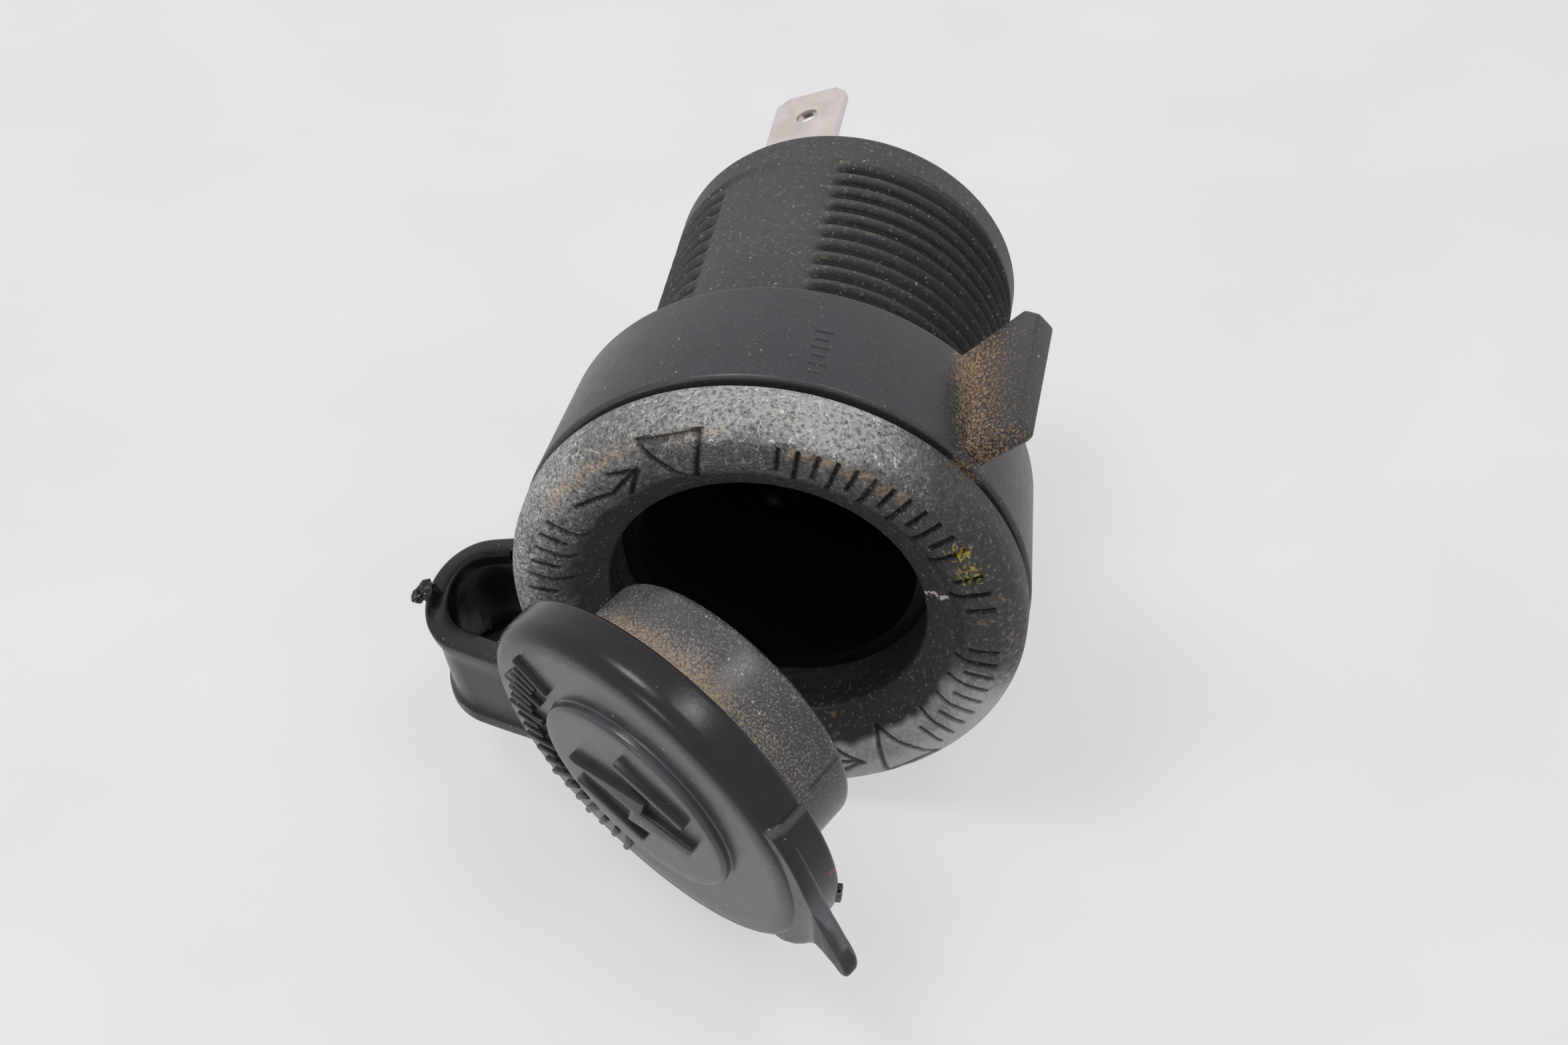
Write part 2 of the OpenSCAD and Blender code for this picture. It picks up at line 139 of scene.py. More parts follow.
class BodySizes(bpy.types.PropertyGroup):
    """Sizes of the moulded body"""
    flange: length("Flange", "Diameter of the flange", 38)
    rim_round: length("Rim round", "Radius of the flange's front rim", 2.6)
    back_round: length("Back round", "Radius of the flange's back rim", 0.9)
    dish: length("Dish", "Diameter where the dished face starts", 30.4)
    dish_depth: length("Dish depth", "Depth of the dish at the mouth", 2)
    mouth: length("Mouth", "Diameter of the mouth", 23.4)
    mouth_round: length("Mouth round", "Radius of the mouth's edge", 0.4)
    crest: length("Thread", "Diameter over the thread's crests", 28.5)
    thread_depth: length("Thread depth", "Depth of the thread", 0.7)
    pitch: length("Pitch", "Pitch of the thread", 1.7)
    collar: length("Collar", "Length of the plain collar at the rear", 3)
    neck: length("Neck", "Length of the plain neck behind the flange", 1.5)
    plain_side: angle("Plain side", "Width of each plain side where the thread stops", 42)
    plain_drop: length("Plain drop", "Depth of the plain sides under the thread's crests", 0.2)
    seat: length("Shell seat", "Diameter of the seat round the rear of the shell", 22.8)
    recess: length("Recess", "Diameter of the recess in the rear end", 22.4)
    stud_hole: length("Stud hole", "Diameter of the hole for the stud", 4.2)
    stroke: length("Stroke", "Width of the engraved strokes", 0.44)
    stroke_depth: length("Stroke depth", "Depth of the engraved strokes", 0.3)


class NutSizes(bpy.types.PropertyGroup):
    """Sizes of the winged clamp nut"""
    front: length("Front", "Diameter at the front", 38)
    rear: length("Rear", "Diameter at the rear", 36.3)
    bore: length("Bore", "Diameter of the bore", 28.66)
    gap: length("Gap", "Distance of the nut from the flange at rest", 0.45)
    long: length("Length", "Length without the wings", 11.2)
    edge: length("Edge", "Radius of the rims", 0.4)
    wing_reach: length("Wing reach", "Distance of a wing's tip from the axis", 23.9)
    wing_thick: length("Wing", "Thickness of a wing", 1.9)
    wing_set: length("Wing set", "Distance from the nut's front to its wings", 1.25)
    wing_over: length("Wing over", "Distance by which the wings stand past the nut's rear", 3.2)
    wing_flare: length("Wing flare", "Distance by which a wing reaches less at the front", 0.5)
    wing_rise: length("Wing rise", "Distance by which a wing's rear edge is lower at its root", 1.6)
    wing_corner: length("Wing corner", "Size of the cut-off rear corner", 1.4)
    wing_edge: length("Wing edge", "Radius of the wings' edges", 0.35)
    wing_clock: angle("Wing clock", "Clock angle of the upper wing", 42)


class CapSizes(bpy.types.PropertyGroup):
    """Sizes of the rubber cap"""
    disc: length("Disc", "Diameter of the disc", 29)
    thick: length("Thickness", "Thickness of the disc", 3.5)
    seat: length("Seat", "Gap between the closed disc and the flange", 0.25)
    rim: length("Rim", "Radius of the disc's front rim", 1.4)
    boss: length("Boss", "Diameter of the raised centre", 16.7)
    boss_high: length("Boss height", "Height of the raised centre", 0.8)
    plug: length("Plug", "Diameter of the plug", 21.9)
    plug_long: length("Plug length", "Length of the plug", 6.1)
    plug_wall: length("Plug wall", "Wall of the hollow plug", 2)
    hollow: length("Hollow", "Depth of the hollow in the plug", 5)
    tab_clock: angle("Pull tab", "Angle of the pull tab round the disc from the strap", 157)
    tab_root: angle("Tab root", "Width of the tab's thick root, as an angle", 68)
    tab_reach: length("Tab reach", "Distance of the tab's tip from the cap's centre", 19.6)
    tab_wide: length("Tab width", "Width of the tab's tongue", 3.6)
    tab_thick: length("Tab thickness", "Thickness of the tab's tongue", 1.35)
    tab_lean: angle("Tab lean", "Angle by which the tongue leans forward", 18)


class StrapSizes(bpy.types.PropertyGroup):
    """Sizes of the rubber strap"""
    wide: length("Width", "Width of the strap", 8.8)
    thick: length("Thickness", "Thickness between the beads", 1.1)
    bead: length("Bead", "Thickness of the bead along each edge", 1.9)
    bead_wide: length("Bead width", "Width of the bead", 1.2)
    bend: length("Bend", "Radius of the bend at the middle of the strap", 3.7)
    gap: length("Gap", "Distance that the strap stands off the flange", 0.4)
    run: length("Run", "Length of the strap before its bend", 1.6)
    flare: angle("Flare", "Angle by which the bend's lower edge stands further out", 9)
    root: length("Root", "Distance of the strap's middle behind the front of the closed disc", 2.5)
    ring_out: length("Ring", "Diameter of the ring behind the flange", 35.4)
    ring_thick: length("Ring thickness", "Thickness of the ring behind the flange", 0.3)
    root_clock: angle("Root clock", "Clock angle where the strap leaves the ring", 194)


class Finishes(bpy.types.PropertyGroup):
    """Colours of the surfaces"""
    body: colour("Body", "Black moulding under the dust", "#26272a")
    # Pale end of the face's paleness: dust and rub, and also painted light where the rim's top and left are
    # painted pale
    body_dust_and_light: colour("Body dust", "Grey of the rubbed and dusty grain", "#b4b3b2")
    soil: colour("Soil", "Dry tan soil in the corners", "#c4a684")
    nut: colour("Nut", "Satin black moulding of the nut", "#2e2d32")
    rubber: colour("Rubber", "Black rubber of the cap and strap", "#19191d")
    rubber_dust: colour("Rubber dust", "Pale dust on the rubber", "#a79c8d")
    shell: colour("Shell", "Blackened steel of the shell", "#2b2622")
    tab: colour("Tab", "Tinned brass of the tabs", "#e9e1dc")
    brass: colour("Brass", "Brass of the stud, nut and rivet", "#b9975a")
    steel: colour("Steel", "Zinc-plated and spring steel", "#a9abad")
    board: colour("Board", "Brown insulating board", "#5b3a24")


def at(radius, clock, y):
    """The point at a radius, a clock angle in degrees and a place along the axis"""
    turn = math.radians(clock)
    return Vector((radius * math.cos(turn), y, radius * math.sin(turn)))


def polar(point):
    """Radius and clock angle of a point"""
    return math.hypot(point.x, point.z), math.degrees(math.atan2(point.z, point.x))


def apart(first, second):
    """Difference of two clock angles, from -180 to 180 degrees"""
    return (first - second + 180) % 360 - 180


def ease(value, low, high):
    """0 below low, 1 above high, and smooth between them"""
    share = min(max((value - low) / (high - low), 0), 1)
    return share * share * (3 - 2 * share)


def arc(centre, radius, first, last, steps):
    """Points of an arc, as radius and depth, between two angles in degrees"""
    turns = [math.radians(first + (last - first) * i / steps) for i in range(steps + 1)]
    return [(centre[0] + radius * math.cos(t), centre[1] + radius * math.sin(t)) for t in turns]


def line(first, last, steps):
    """Points along a straight line, without its last one"""
    return [(first[0] + (last[0] - first[0]) * i / steps, first[1] + (last[1] - first[1]) * i / steps)
            for i in range(steps)]


def turned(bm, outline, steps, closed=True, first=0.0, sweep=360.0):
    """Turns an outline of radius and depth about the socket's axis"""
    verts = [bm.verts.new(at(radius, first, y)) for radius, y in outline]
    edges = [bm.edges.new(pair) for pair in zip(verts, verts[1:])]
    if closed:
        edges.append(bm.edges.new((verts[-1], verts[0])))
    full = sweep == 360.0
    if not full:
        bm.faces.new(verts)
    made = bmesh.ops.spin(
        bm, geom=verts + edges, cent=(0, 0, 0), axis=(0, -1, 0), dvec=(0, 0, 0),
        angle=math.radians(sweep), steps=steps, use_merge=full, use_duplicate=False)
    if not full:
        last = [e for e in made["geom_last"] if isinstance(e, bmesh.types.BMEdge)]
        bmesh.ops.contextual_create(bm, geom=last)
    return verts


def extruded(bm, points, depth):
    """A flat face through the points, drawn out by a vector"""
    face = bm.faces.new([bm.verts.new(p) for p in points])
    made = bmesh.ops.extrude_face_region(bm, geom=[face], use_keep_orig=True)
    moved = [v for v in made["geom"] if isinstance(v, bmesh.types.BMVert)]
    bmesh.ops.translate(bm, verts=moved, vec=depth)
    return list(face.verts) + moved


def rounded(bm, verts, offset, segments=3, over=30):
    """Rounds the edges between these vertices that are sharper than an angle in degrees"""
    bmesh.ops.recalc_face_normals(bm, faces=bm.faces)
    chosen = set(verts)
    sharp = [e for e in bm.edges if e.is_manifold and set(e.verts) <= chosen
             and e.calc_face_angle() > math.radians(over)]
    bmesh.ops.bevel(
        bm, geom=sharp, offset=offset, offset_type="OFFSET", segments=segments, profile=0.5,
        affect="EDGES", material=-1, clamp_overlap=True)


def block(bm, size, place, edge, segments=2):
    """A box with rounded edges, put in place by a matrix"""
    made = bmesh.ops.create_cube(bm, size=1, matrix=Matrix.Diagonal((*size, 1)))["verts"]
    edges = list({e for v in made for e in v.link_edges})
    made = bmesh.ops.bevel(
        bm, geom=edges, offset=edge, offset_type="OFFSET", segments=segments, profile=0.5,
        affect="EDGES", material=-1, clamp_overlap=True)
    seen = {v for f in made["faces"] for v in f.verts}
    bmesh.ops.transform(bm, matrix=place, verts=list(seen))


def lump(bm, place, size, rough, seed):
    """A torn crumb of rubber: a ball pushed in and out by noise"""
    made = bmesh.ops.create_icosphere(bm, subdivisions=3, radius=1)["verts"]
    for v in made:
        swell = 1 + rough * noise.noise(v.co * 1.7 + Vector((seed, 0, 0)))
        v.co = Vector(a * b for a, b in zip(v.co * swell, size))
    bmesh.ops.transform(bm, matrix=place, verts=made)


def made_piece(name, bm, finish, nodes, body, sharp=38, paints=None, place=None):
    """Turns the bmesh into a finished object that stands for its CAD nodes"""
    bmesh.ops.remove_doubles(bm, verts=bm.verts, dist=WELD)
    bmesh.ops.recalc_face_normals(bm, faces=bm.faces)
    if place:
        bmesh.ops.transform(bm, matrix=place, verts=bm.verts)
    mesh = bpy.data.meshes.new(name)
    bm.to_mesh(mesh)
    bm.free()
    mesh.polygons.foreach_set("use_smooth", [True] * len(mesh.polygons))
    mesh.set_sharp_from_angle(angle=math.radians(sharp))
    unplace = place.inverted() if place else Matrix.Identity(4)
    for channel, amount in (paints or {}).items():
        layer = mesh.attributes.new(channel, "FLOAT", "POINT")
        layer.data.foreach_set("value", [amount(unplace @ v.co) for v in mesh.vertices])
    mesh.materials.append(bpy.data.materials[finish])
    piece = bpy.data.objects.new(name, mesh)
    bpy.context.scene.collection.objects.link(piece)
    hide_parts(*nodes)
    if body:
        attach(piece, body)
    return piece


def add_node(tree, kind, inputs=None, **settings):
    """One node, with its settings, and its sockets linked or set"""
    node = tree.nodes.new(kind)
    for name, value in settings.items():
        setattr(node, name, value)
    for socket, source in (inputs or {}).items():
        if isinstance(source, bpy.types.NodeSocket):
            tree.links.new(source, node.inputs[socket])
        else:
            node.inputs[socket].default_value = source
    return node


def new_material(name):
    """An empty material with its shader, ready for nodes; returns the material, tree and shader"""
    material = bpy.data.materials.new(name)
    material.use_nodes = True
    tree = material.node_tree
    tree.nodes.clear()
    shader = add_node(tree, "ShaderNodeBsdfPrincipled")
    add_node(tree, "ShaderNodeOutputMaterial", {"Surface": shader.outputs["BSDF"]})
    return material, tree, shader


def feed(shader, socket, source):
    """Links a value or colour to one socket of a shader"""
    shader.id_data.links.new(source, shader.inputs[socket])


def grain(tree, size, detail=2.0, roughness=0.5, stretch=(1, 1, 1)):
    """Noise over the piece whose features have a real size in metres"""
    coords = add_node(tree, "ShaderNodeTexCoord")
    mapping = add_node(tree, "ShaderNodeMapping", {
        "Vector": coords.outputs["Object"], "Scale": tuple(s / size for s in stretch)})
    return add_node(tree, "ShaderNodeTexNoise", {
        "Vector": mapping.outputs["Vector"], "Scale": 1.0, "Detail": detail, "Roughness": roughness,
    }).outputs["Fac"]


def spread(tree, value, low, high, to_low=0.0, to_high=1.0):
    """A value stretched from one range to another and held inside it"""
    return add_node(tree, "ShaderNodeMapRange", {
        "Value": value, "From Min": low, "From Max": high, "To Min": to_low, "To Max": to_high,
    }).outputs["Result"]


def maths(tree, operation, first, second):
    """One sum, product or the like of two values"""
    return add_node(tree, "ShaderNodeMath", {0: first, 1: second}, operation=operation).outputs["Value"]


def times(tree, first, second):
    """The product of two values"""
    return maths(tree, "MULTIPLY", first, second)


def painted(tree, channel):
    """The amount painted on the piece under a name"""
    return add_node(tree, "ShaderNodeAttribute", attribute_name=channel).outputs["Fac"]


def blended(tree, share, first, second):
    """Two colours mixed by a share"""
    pair = [c if isinstance(c, bpy.types.NodeSocket) else (*c, 1) for c in (first, second)]
    return add_node(tree, "ShaderNodeMix", {
        0: share, 6: pair[0], 7: pair[1]}, data_type="RGBA").outputs[2]


def settled(tree, channel, size, edge=0.12, detail=5.0):
    """Dust or soil that gathers in ragged specks, thicker where more of it is painted"""
    ragged = spread(tree, grain(tree, size, detail, 0.65), 0.32, 0.68)
    amount = maths(tree, "ADD", ragged, painted(tree, channel))
    return spread(tree, amount, 1 - edge, 1 + edge)


def specks(tree, channel, cell, width):
    """Loose ragged specks of mixed sizes, one in some of the cells, more where more is painted"""
    coords = add_node(tree, "ShaderNodeTexCoord")
    mapping = add_node(tree, "ShaderNodeMapping", {
        "Vector": coords.outputs["Object"], "Scale": (1 / cell,) * 3})
    cells = add_node(tree, "ShaderNodeTexVoronoi", {"Vector": mapping.outputs["Vector"], "Scale": 1.0})
    picks = add_node(tree, "ShaderNodeSeparateColor", {"Color": cells.outputs["Color"]})
    ragged = maths(tree, "ADD", cells.outputs["Distance"], spread(
        tree, grain(tree, cell * 0.4, 2), 0.3, 0.7, -width * 0.5, width * 0.5))
    size = spread(tree, picks.outputs["Green"], 0, 1, 0.35, 1)
    dot = spread(tree, maths(tree, "DIVIDE", ragged, size), width, width * 0.6)
    chosen = maths(tree, "LESS_THAN", picks.outputs["Red"], painted(tree, channel))
    return times(tree, dot, chosen)


def bumped(tree, height, distance, strength=1.0):
    """Surface normal from a height between 0 and 1 that stands for a real distance"""
    return add_node(tree, "ShaderNodeBump", {
        "Height": height, "Distance": distance, "Strength": strength}).outputs["Normal"]


def grained_moulding(finishes):
    """Black ABS from a spark-eroded mould: a crinkled matt grain, grey and dusty where it is rubbed, with
    painted light and painted shade in its paleness, painted glints on the grain, and painted shade in the
    engraving and the thread
    """
    material, tree, shader = new_material("grained_black_moulding")
    rough = painted(tree, "grain")
    tone = painted(tree, "tone")
    crinkle = spread(tree, grain(tree, 0.3 * MM, 3, 0.65), 0.3, 0.7)
    worm = maths(tree, "ABSOLUTE", maths(tree, "SUBTRACT", grain(tree, 0.5 * MM, 1.5, 0.6), 0.5), 0)
    broken = spread(tree, grain(tree, 0.7 * MM, 2), 0.45, 0.6)
    ribbon = times(tree, spread(tree, worm, 0.05, 0.015), broken)
    mottle = times(tree, spread(tree, crinkle, 0, 1, -0.9, 1.1), rough)
    # Paleness painted on the face: dust and rub, and also painted light on the rim's top and left and
    # painted shade on its right side
    pale = times(tree, tone, maths(tree, "ADD", mottle, 1))
    base = blended(tree, pale, tuple(finishes.body), tuple(finishes.body_dust_and_light))
    warm = times(tree, settled(tree, "warm", 0.45 * MM, 0.3, 6), 0.5)
    base = blended(tree, warm, base, tuple(finishes.soil))
    # Painted glints: pale ribbons painted into the colour as highlights on the grain, strongest where the
    # face is painted pale
    painted_glint = times(tree, times(tree, ribbon, rough),
                  spread(tree, tone, 0.06, 0.45, 0.12, 0.95))
    base = blended(tree, painted_glint, base, linear("#e4e2de"))
    base = blended(tree, times(tree, specks(tree, "specks", 0.4 * MM, 0.22), 0.6), base, linear("#c4c2be"))
    # Near-black painted into the strokes, the thread's grooves and the barrel's right side: painted shade,
    # with the bare black of the dust-free strokes
    base = blended(tree, times(tree, painted(tree, "dark_and_painted_shade"), 0.8), base, linear("#131315"))
    base = blended(tree, settled(tree, "fleck", 0.3 * MM, 0.06, 7), base, linear("#b09a3c"))
    base = blended(tree, settled(tree, "chip", 0.35 * MM, 0.08, 6), base, linear("#e6d8d0"))
    feed(shader, "Base Color", base)
    feed(shader, "Roughness", spread(tree, pale, 0, 0.4, 0.5, 0.8))
    leather = times(tree, grain(tree, 1.1 * MM, 4, 0.6), 2.2)
    height = maths(tree, "ADD", maths(tree, "ADD", crinkle, leather), times(tree, ribbon, 0.6))
    feed(shader, "Normal", bumped(tree, times(tree, height, rough), 0.13 * MM, 1))
    feed(shader, "Specular IOR Level", spread(tree, painted(tree, "dark_and_painted_shade"), 0, 1, 0.5, 0.12))
    shader.inputs["IOR"].default_value = 1.5
    return material


def satin_moulding(finishes):
    """Black ABS from a polished mould: even satin with fine scuffs, and dry soil caught at the wings"""
    material, tree, shader = new_material("satin_black_moulding")
    cloudy = spread(tree, grain(tree, 4 * MM, 4, 0.6), 0.3, 0.75)
    soil = settled(tree, "soil", 0.22 * MM, 0.22, 8)
    dots = specks(tree, "dust", 0.7 * MM, 0.16)
    base = blended(tree, times(tree, cloudy, 0.4), tuple(finishes.nut), linear("#3b3a40"))
    base = blended(tree, times(tree, soil, 0.95), base, blended(
        tree, spread(tree, grain(tree, 0.16 * MM, 4, 0.7), 0.4, 0.62),
        tuple(finishes.soil), linear("#6b5444")))
    base = blended(tree, times(tree, dots, 0.7), base, linear("#b5b2ae"))
    feed(shader, "Base Color", base)
    polish = spread(tree, grain(tree, 1.2 * MM, 5, 0.7), 0.3, 0.7, 0.3, 0.42)
    feed(shader, "Roughness", maths(tree, "MAXIMUM", polish, times(tree, soil, 0.85)))
    height = maths(tree, "ADD", times(tree, grain(tree, 0.2 * MM, 3), 0.25), soil)
    feed(shader, "Normal", bumped(tree, height, 0.05 * MM, 0.6))
    shader.inputs["IOR"].default_value = 1.5
    return material


def soft_rubber(finishes):
    """Moulded TPE rubber: a soft gloss with rub marks, a pale haze that is partly a dull film and partly
    painted reflection and painted light, pale dust where it was handled and put down, and painted shade on
    the rim and inside the strap's bend
    """
    material, tree, shader = new_material("soft_black_rubber")
    cloudy = spread(tree, grain(tree, 3 * MM, 5, 0.6), 0.3, 0.75)
    dust = times(tree, settled(tree, "dust", 0.17 * MM, 0.24, 5),
                 spread(tree, painted(tree, "dust"), 0.06, 0.2))
    dots = specks(tree, "specks", 0.5 * MM, 0.2)
    # A pale haze, partly a dull film and partly painted reflection of the white table on the faces and
    # painted light on the plug's upper side
    haze_and_painted_light = times(tree, painted(tree, "haze_and_painted_light"), spread(tree, cloudy, 0, 1, 0.45, 0.85))
    base = blended(tree, times(tree, cloudy, 0.35), tuple(finishes.rubber), linear("#2b2b31"))
    base = blended(tree, haze_and_painted_light, base, linear("#66666b"))
    tan = blended(tree, painted(tree, "tan"), tuple(finishes.rubber_dust), linear("#b89f83"))
    base = blended(tree, times(tree, dust, 0.75), base, tan)
    base = blended(tree, times(tree, dots, 0.7), base, linear("#cdc7be"))
    base = blended(tree, settled(tree, "stain", 0.3 * MM, 0.1), base, linear("#8c3436"))
    # Painted shade on the cap's rim and inside the strap's bend, together with the darker raised marks,
    # seam and rubber
    base = blended(tree, painted(tree, "dark_and_painted_shade"), base, linear("#121214"))
    feed(shader, "Base Color", base)
    polish = spread(tree, grain(tree, 1.6 * MM, 5, 0.7), 0.3, 0.7, 0.2, 0.3)
    dull = maths(tree, "MAXIMUM", times(tree, dust, 0.85), times(tree, haze_and_painted_light, 0.8))
    feed(shader, "Roughness", maths(tree, "MAXIMUM", polish, dull))
    feed(shader, "Specular IOR Level", spread(tree, painted(tree, "dark_and_painted_shade"), 0, 0.75, 0.5, 0.1))
    height = maths(tree, "ADD", times(tree, grain(tree, 0.25 * MM, 3), 0.35), dust)
    feed(shader, "Normal", bumped(tree, height, 0.035 * MM, 0.5))
    shader.inputs["IOR"].default_value = 1.52
    return material


def worn_metal(name, tint, dark, low, high, metallic=1.0, stretch=(1, 1, 1)):
    """Bare or plated metal: rolled or turned marks, darker where it has tarnished"""
    material, tree, shader = new_material(name)
    tarnish = spread(tree, grain(tree, 2.5 * MM, 6, 0.65), 0.35, 0.7)
    marks = grain(tree, 0.5 * MM, 4, 0.7, stretch)
    base = blended(tree, times(tree, tarnish, 0.5), tuple(tint), dark)
    feed(shader, "Base Color", base)
    feed(shader, "Roughness", spread(tree, marks, 0.3, 0.7, low, high))
    feed(shader, "Normal", bumped(tree, marks, 0.012 * MM, 0.7))
    shader.inputs["Metallic"].default_value = metallic
    return material


def insulating_board(finishes):
    """Pressed brown board: dull, with a fine fibre in it"""
    material, tree, shader = new_material("brown_insulating_board")
    fibre = grain(tree, 0.5 * MM, 5, 0.7, (1, 3, 1))
    base = blended(tree, spread(tree, fibre, 0.3, 0.7), tuple(finishes.board), linear("#3d2617"))
    feed(shader, "Base Color", base)
    feed(shader, "Roughness", spread(tree, fibre, 0.3, 0.7, 0.55, 0.75))
    feed(shader, "Normal", bumped(tree, fibre, 0.03 * MM, 0.5))
    return material


def triangle_sign(clock, radius, size):
    """Strokes of a plain triangle outline, as pairs of radius and clock"""
    corners = [(radius, clock + size), (radius, clock - size), (radius - 4.3 * MM, clock - size * 0.2)]
    return list(zip(corners, corners[1:] + corners[:1]))


def arrow_sign(first, last, radius):
    """Strokes of a plain curved arrow from one clock angle to another"""
    step = (last - first) / 6
    bow = [(radius + 0.3 * MM * abs(i - 3), first + step * i) for i in range(7)]
    head = [(bow[-1], (radius + barb, last - step * 2.2)) for barb in (1.5 * MM, -0.9 * MM)]
    return list(zip(bow, bow[1:])) + head


def face_strokes():
    """Engraved strokes of the flange's face, as pairs of points in its plane"""
    strokes = triangle_sign(111, 18 * MM, 7.7) + arrow_sign(144, 122, 15.2 * MM)
    strokes += triangle_sign(-50, 18 * MM, 7.7) + arrow_sign(-83, -61, 15.2 * MM)
    groups = [(86, 34, 12), (25, 14, 3), (-1, -38, 9), (178, 154, 6)]
    for first, last, count in groups:
        for i in range(count):
            clock = first + (last - first) * i / (count - 1)
            inner = (14.2 if i % 2 else 15.2) * MM
            strokes.append(((inner, clock), (17 * MM, clock)))
    return [tuple(Vector((at(r, c, 0).x, at(r, c, 0).z)) for r, c in pair) for pair in strokes]


def stroke_distance(point, stroke):
    """Distance of a point of the face from a stroke"""
    start, end = stroke
    run = end - start
    share = min(max((point - start).dot(run) / run.length_squared, 0), 1)
    return (point - start - run * share).length


class Carving:
    """The engraved strokes of the face, sorted by clock angle so that near ones are found quickly"""
    sector = 12

    def __init__(self, half):
        self.half = half
        self.strokes = face_strokes()
        self.sectors = {}
        for i, stroke in enumerate(self.strokes):
            for end in stroke:
                clock = math.degrees(math.atan2(end.y, end.x))
                for near in (-self.sector, 0, self.sector):
                    self.sectors.setdefault(int((clock + near) % 360 // self.sector), set()).add(i)

    def share(self, point):
        """1 in a stroke, 0 outside it and smooth between them"""
        flat = Vector((point.x, point.z))
        near = self.sectors.get(int(polar(point)[1] % 360 // self.sector), ())
        gap = min((stroke_distance(flat, self.strokes[i]) for i in near), default=1)
        return 1 - ease(gap, self.half * 0.35, self.half * 1.25)


class SOCKET_OT_body(bpy.types.Operator):
    """Models the flange, the threaded barrel and the rear wall as one moulding"""
    bl_idname = "socket.body"
    bl_label = "Moulded body"

    def face(self, bm, sizes, carved):
        """The flange and the sleeve of its mouth, fine enough for the engraved signs"""
        rim = sizes.flange / 2
        dish = sizes.dish / 2
        mouth = sizes.mouth / 2
        bite = sizes.mouth_round
        lip = FRONT + sizes.dish_depth
        sleeve_out = mouth + 1.5 * MM
        sleeve_end = BACK + 2.6 * MM
        crown = rim - sizes.rim_round
        low = rim - sizes.back_round
        outline = line((mouth, sleeve_end), (mouth, lip + bite), 3)
        outline += arc((mouth + bite, lip + bite), bite, 180, 240, 4)
        outline += line(outline[-1], (dish - 0.5 * MM, FRONT + 0.2 * MM), 22)[1:]
        outline += line((dish - 0.5 * MM, FRONT + 0.2 * MM), (dish + 0.1 * MM, FRONT), 5)
        outline += line((dish + 0.1 * MM, FRONT), (crown, FRONT), 8)
        outline += arc((crown, FRONT + sizes.rim_round), sizes.rim_round, -90, 0, 18)
        outline += arc((low, BACK - sizes.back_round), sizes.back_round, 0, 90, 5)
        outline += [(sleeve_out, BACK), (sleeve_out, sleeve_end)]
        turned(bm, outline, FACE_STEPS)
        for v in bm.verts:
            radius, _ = polar(v.co)
            if v.co.y > FRONT + 2.1 * MM or not mouth + 0.6 * MM < radius < rim - 0.6 * MM:
                continue
            v.co.y += sizes.stroke_depth * carved.share(v.co)
            v.co.y += 0.04 * MM * noise.noise(v.co * 1100)

    def shear(self, clock, plain):
        """Turn from the middle of a threaded side, unwound over the plain sides so that the rows meet"""
        turn = min((apart(clock, TAB_CLOCK + side) for side in (90, 270)), key=abs)
        reach = 90 - plain
        return turn if abs(turn) < reach else math.copysign(reach * (90 - abs(turn)) / plain, turn)

    def ridge(self, y, clock, sizes):
        """1 on a crest of the thread and 0 in the wide groove between two"""
        return max((math.cos(2 * math.pi * (y / sizes.pitch + clock / 360)) + 0.1) / 1.1, 0) ** 0.8

    def barrel(self, bm, sizes):
        """The barrel with its helical thread, plain sides, rear recess and seats for the metal"""
        crest = sizes.crest / 2
        chamfer = 0.5 * MM
        start = BACK - chamfer
        hollow = sizes.mouth / 2 + 0.05 * MM
        seat_start = FLOOR_Y - 7 * MM
        recess = sizes.recess / 2
        rows = round((REAR - chamfer - start) / sizes.pitch * ROWS_PER_TURN)
        outline = line((crest, start), (crest, REAR - chamfer), rows)
        outline += [(crest, REAR - chamfer), (crest - chamfer * 0.35, REAR - chamfer * 0.25)]
        outline += [(crest - chamfer, REAR), (recess + 0.25 * MM, REAR), (recess, REAR - 0.25 * MM)]
        outline += [(recess, RECESS_Y), (sizes.stud_hole / 2, RECESS_Y), (sizes.stud_hole / 2, FLOOR_Y)]
        outline += [(sizes.seat / 2, FLOOR_Y), (sizes.seat / 2, seat_start)]
        outline += [(hollow, seat_start), (hollow, start)]
        old = set(bm.verts)
        turned(bm, outline, BARREL_STEPS)
        thread_start = BACK + sizes.neck
        thread_end = REAR - sizes.collar
        plain = math.degrees(sizes.plain_side) / 2
        for v in bm.verts:
            if v in old:
                continue
            radius, clock = polar(v.co)
            side = min(abs(apart(clock, TAB_CLOCK + turn)) for turn in (0, 180))
            if radius > recess + chamfer:
                inside = ease(v.co.y, BACK, thread_start + 1 * MM)
                inside *= 1 - ease(v.co.y, thread_end - 2 * MM, REAR)
                y = v.co.y - sizes.pitch * self.shear(clock, plain) / 360 * inside
                ridge = self.ridge(y, clock, sizes)
                ends = ease(y, thread_start - 0.3 * MM, thread_start + 0.5 * MM)
                ends *= 1 - ease(y, thread_end - 0.5 * MM, thread_end)
                threaded = ease(side, plain - 3, plain + 4)
                drop = sizes.plain_drop * (1 - threaded) + sizes.thread_depth * (1 - ridge) * threaded
                v.co = at(radius - drop * ends, clock, y)
            elif abs(radius - recess) < 0.3 * MM and v.co.y > RECESS_Y - WELD and side < POCKET:
                self.notch(v, clock)

